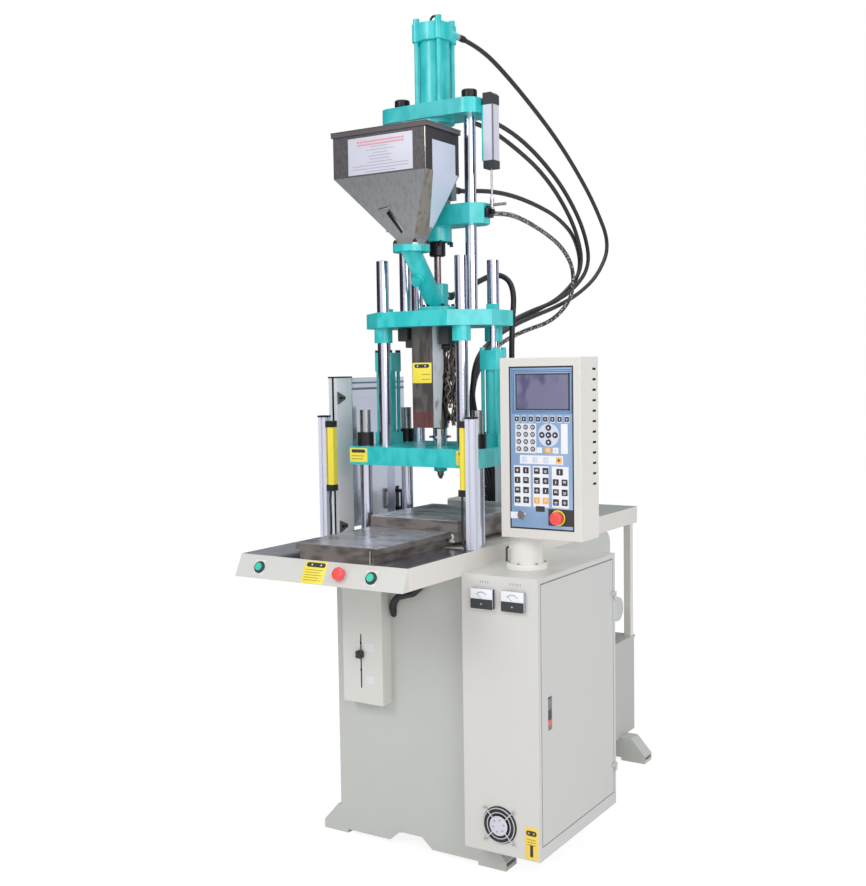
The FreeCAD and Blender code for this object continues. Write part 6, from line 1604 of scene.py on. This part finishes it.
@dataclass
class Studio:
    """Pale floor, soft lamps and the camera at the photograph's viewing angle."""

    eye: Point = (1.94860, -3.52789, 1.56143)
    azimuth: float = 32.373         # degrees that the camera looks to the left of straight back
    pitch: float = 3.548            # degrees downwards
    roll: float = -0.874
    lens: float = 47.02             # on a 36 mm film's longer side
    white: tuple[float, ...] = (1.0, 1.0, 1.0, 1.0)
    lamps: tuple[Lamp, ...] = (
        Lamp("main_lamp", (-1.5, -5.0, 4.2), 2.6, 96.0), Lamp("side_lamp", (4.6, -1.2, 2.6), 2.2, 42.0),
        Lamp("fill_lamp", (2.9, -2.8, 2.4), 1.6, 26.0), Lamp("top_lamp", (0.2, 0.4, 5.2), 2.4, 50.0))

    # name of each flag, where it starts and how far it goes round in degrees, and its shade
    sheets: tuple[tuple[str, float, float, float], ...] = (
        ("flag_left", 50.0, 130.0, 0.025), ("flag_right", -54.0, -42.0, 0.025),
        ("flag_pale", -96.0, -44.0, 0.8), ("flag_rear", -140.0, -40.0, 0.025))

    def build(self) -> None:
        """Make floor, world, lamps, flags and camera."""
        self.floor()
        self.world()
        for lamp in self.lamps:
            lamp.build()
        self.flags()
        self.camera()
        bpy.context.scene.view_settings.view_transform = "Standard"

    def _sheet(self, mesh: bmesh.types.BMesh, name: str, paint: str) -> tuple[bpy.types.Mesh, Tree]:
        """Mesh data with a new material.

        Args:
            mesh: the bmesh, which is used up.
            name: name of the data.
            paint: name of the material.

        Returns:
            The data and the material's empty tree.
        """
        data = bpy.data.meshes.new(name)
        mesh.to_mesh(data)
        mesh.free()
        data.materials.append(bpy.data.materials.new(paint))
        return data, Tree(data.materials[0], "ShaderNodeOutputMaterial")

    def _backdrop(self, tree: Tree, plain: Sock, shown: Sock, share: float) -> None:
        """End a tree with two shaders.

        Args:
            tree: the floor's or the world's tree.
            plain: what lights the machine.
            shown: what camera, glossy and transmission rays see.
            share: how much of the second one they see.
        """
        seen: Value = 0.0
        for ray in ("Is Camera Ray", "Is Glossy Ray", "Is Transmission Ray"):
            other = tree.node("ShaderNodeLightPath", {}, {}, ray)
            seen = tree.node("ShaderNodeMath", {"operation": "MAXIMUM"}, {0: seen, 1: other})
        tree.end(tree.node("ShaderNodeMixShader", {}, {0: seen * share, 1: plain, 2: shown}))

    def floor(self) -> None:
        """Make the floor, nearly white to the camera but for the machine's shadow."""
        half_size, height, glow, share = 14.0, -0.0008, 1.12, 0.8
        mesh = bmesh.new()
        bmesh.ops.create_grid(mesh, x_segments=1, y_segments=1, size=half_size)
        bmesh.ops.translate(mesh, verts=mesh.verts, vec=(0.0, 0.0, height))
        data, tree = self._sheet(mesh, "studio_floor", "pale_floor")
        self._backdrop(tree, tree.node("ShaderNodeBsdfDiffuse", {}, {"Color": (0.9, 0.9, 0.9, 1.0)}),
                       tree.node("ShaderNodeEmission", {}, {"Color": self.white, "Strength": glow}), share)
        added("studio_floor", data)

    def world(self) -> None:
        """Make the world: white to the rays that show it, and softer as a light."""
        light = 0.64
        bpy.context.scene.world = bpy.data.worlds.new("studio")
        tree = Tree(bpy.context.scene.world, "ShaderNodeOutputWorld")
        plain, shown = (tree.node("ShaderNodeBackground", {}, {"Color": colour, "Strength": strength})
                        for colour, strength in (((0.96, 0.98, 1.0, 1.0), light), (self.white, 1.0)))
        self._backdrop(tree, plain, shown, 1.0)

    def flags(self) -> None:
        """Make the flags behind the machine: dark ones for metal's edges, a pale one for the guard."""
        away, low, high = 4.5, 0.3, 4.6     # metres
        for name, start, sweep, shade in self.sheets:
            turn = math.radians(self.azimuth - 90.0 - start)
            mesh = bmesh.new()
            x, y = away * math.cos(turn), away * math.sin(turn)
            foot, head = (mesh.verts.new((x, y, z)) for z in (low, high))
            bmesh.ops.spin(mesh, geom=[foot, head, mesh.edges.new((foot, head))], cent=MIDDLE, axis=UPWARDS,
                           angle=math.radians(-sweep), steps=12)
            data, tree = self._sheet(mesh, name, name)
            tree.end(tree.node("ShaderNodeBsdfPrincipled", {}, {
                "Base Color": (shade, shade, shade * 1.05, 1.0), "Roughness": 1.0}))
            flag = added(name, data)
            flag.visible_camera = False
            flag.visible_diffuse = False
            flag.visible_shadow = False
            flag.visible_transmission = False

    def camera(self) -> None:
        """Make the camera."""
        a, p, r = (math.radians(v) for v in (self.azimuth, self.pitch, self.roll))
        ahead = Vector((-math.sin(a) * math.cos(p), math.cos(a) * math.cos(p), -math.sin(p)))
        right = Vector((math.cos(a), math.sin(a), 0.0))
        up = right.cross(ahead)
        turned_right = math.cos(r) * right + math.sin(r) * up
        turned_up = -math.sin(r) * right + math.cos(r) * up
        data = bpy.data.cameras.new("camera")
        data.lens = self.lens
        data.sensor_width = 36.0
        data.sensor_fit = "AUTO"
        camera = added("camera", data)
        turn = Matrix((turned_right, turned_up, -ahead)).transposed().to_4x4()
        camera.matrix_world = Matrix.Translation(self.eye) @ turn
        bpy.context.scene.camera = camera


def main() -> None:
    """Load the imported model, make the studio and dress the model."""
    logging.basicConfig(level=logging.INFO, format="%(message)s")
    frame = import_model()
    nodes = frame["nodes"]
    Studio().build()
    for hose in HOSES:
        hose.build()
    for part in (Structure(nodes), HopperDress(nodes), BarrelDress(nodes), ClampDress(), TableDress(),
                 Fascia(), CabinetDress(), PendantDress(nodes), BodyDress()):
        part.build()


if __name__ == "__main__":
    main()
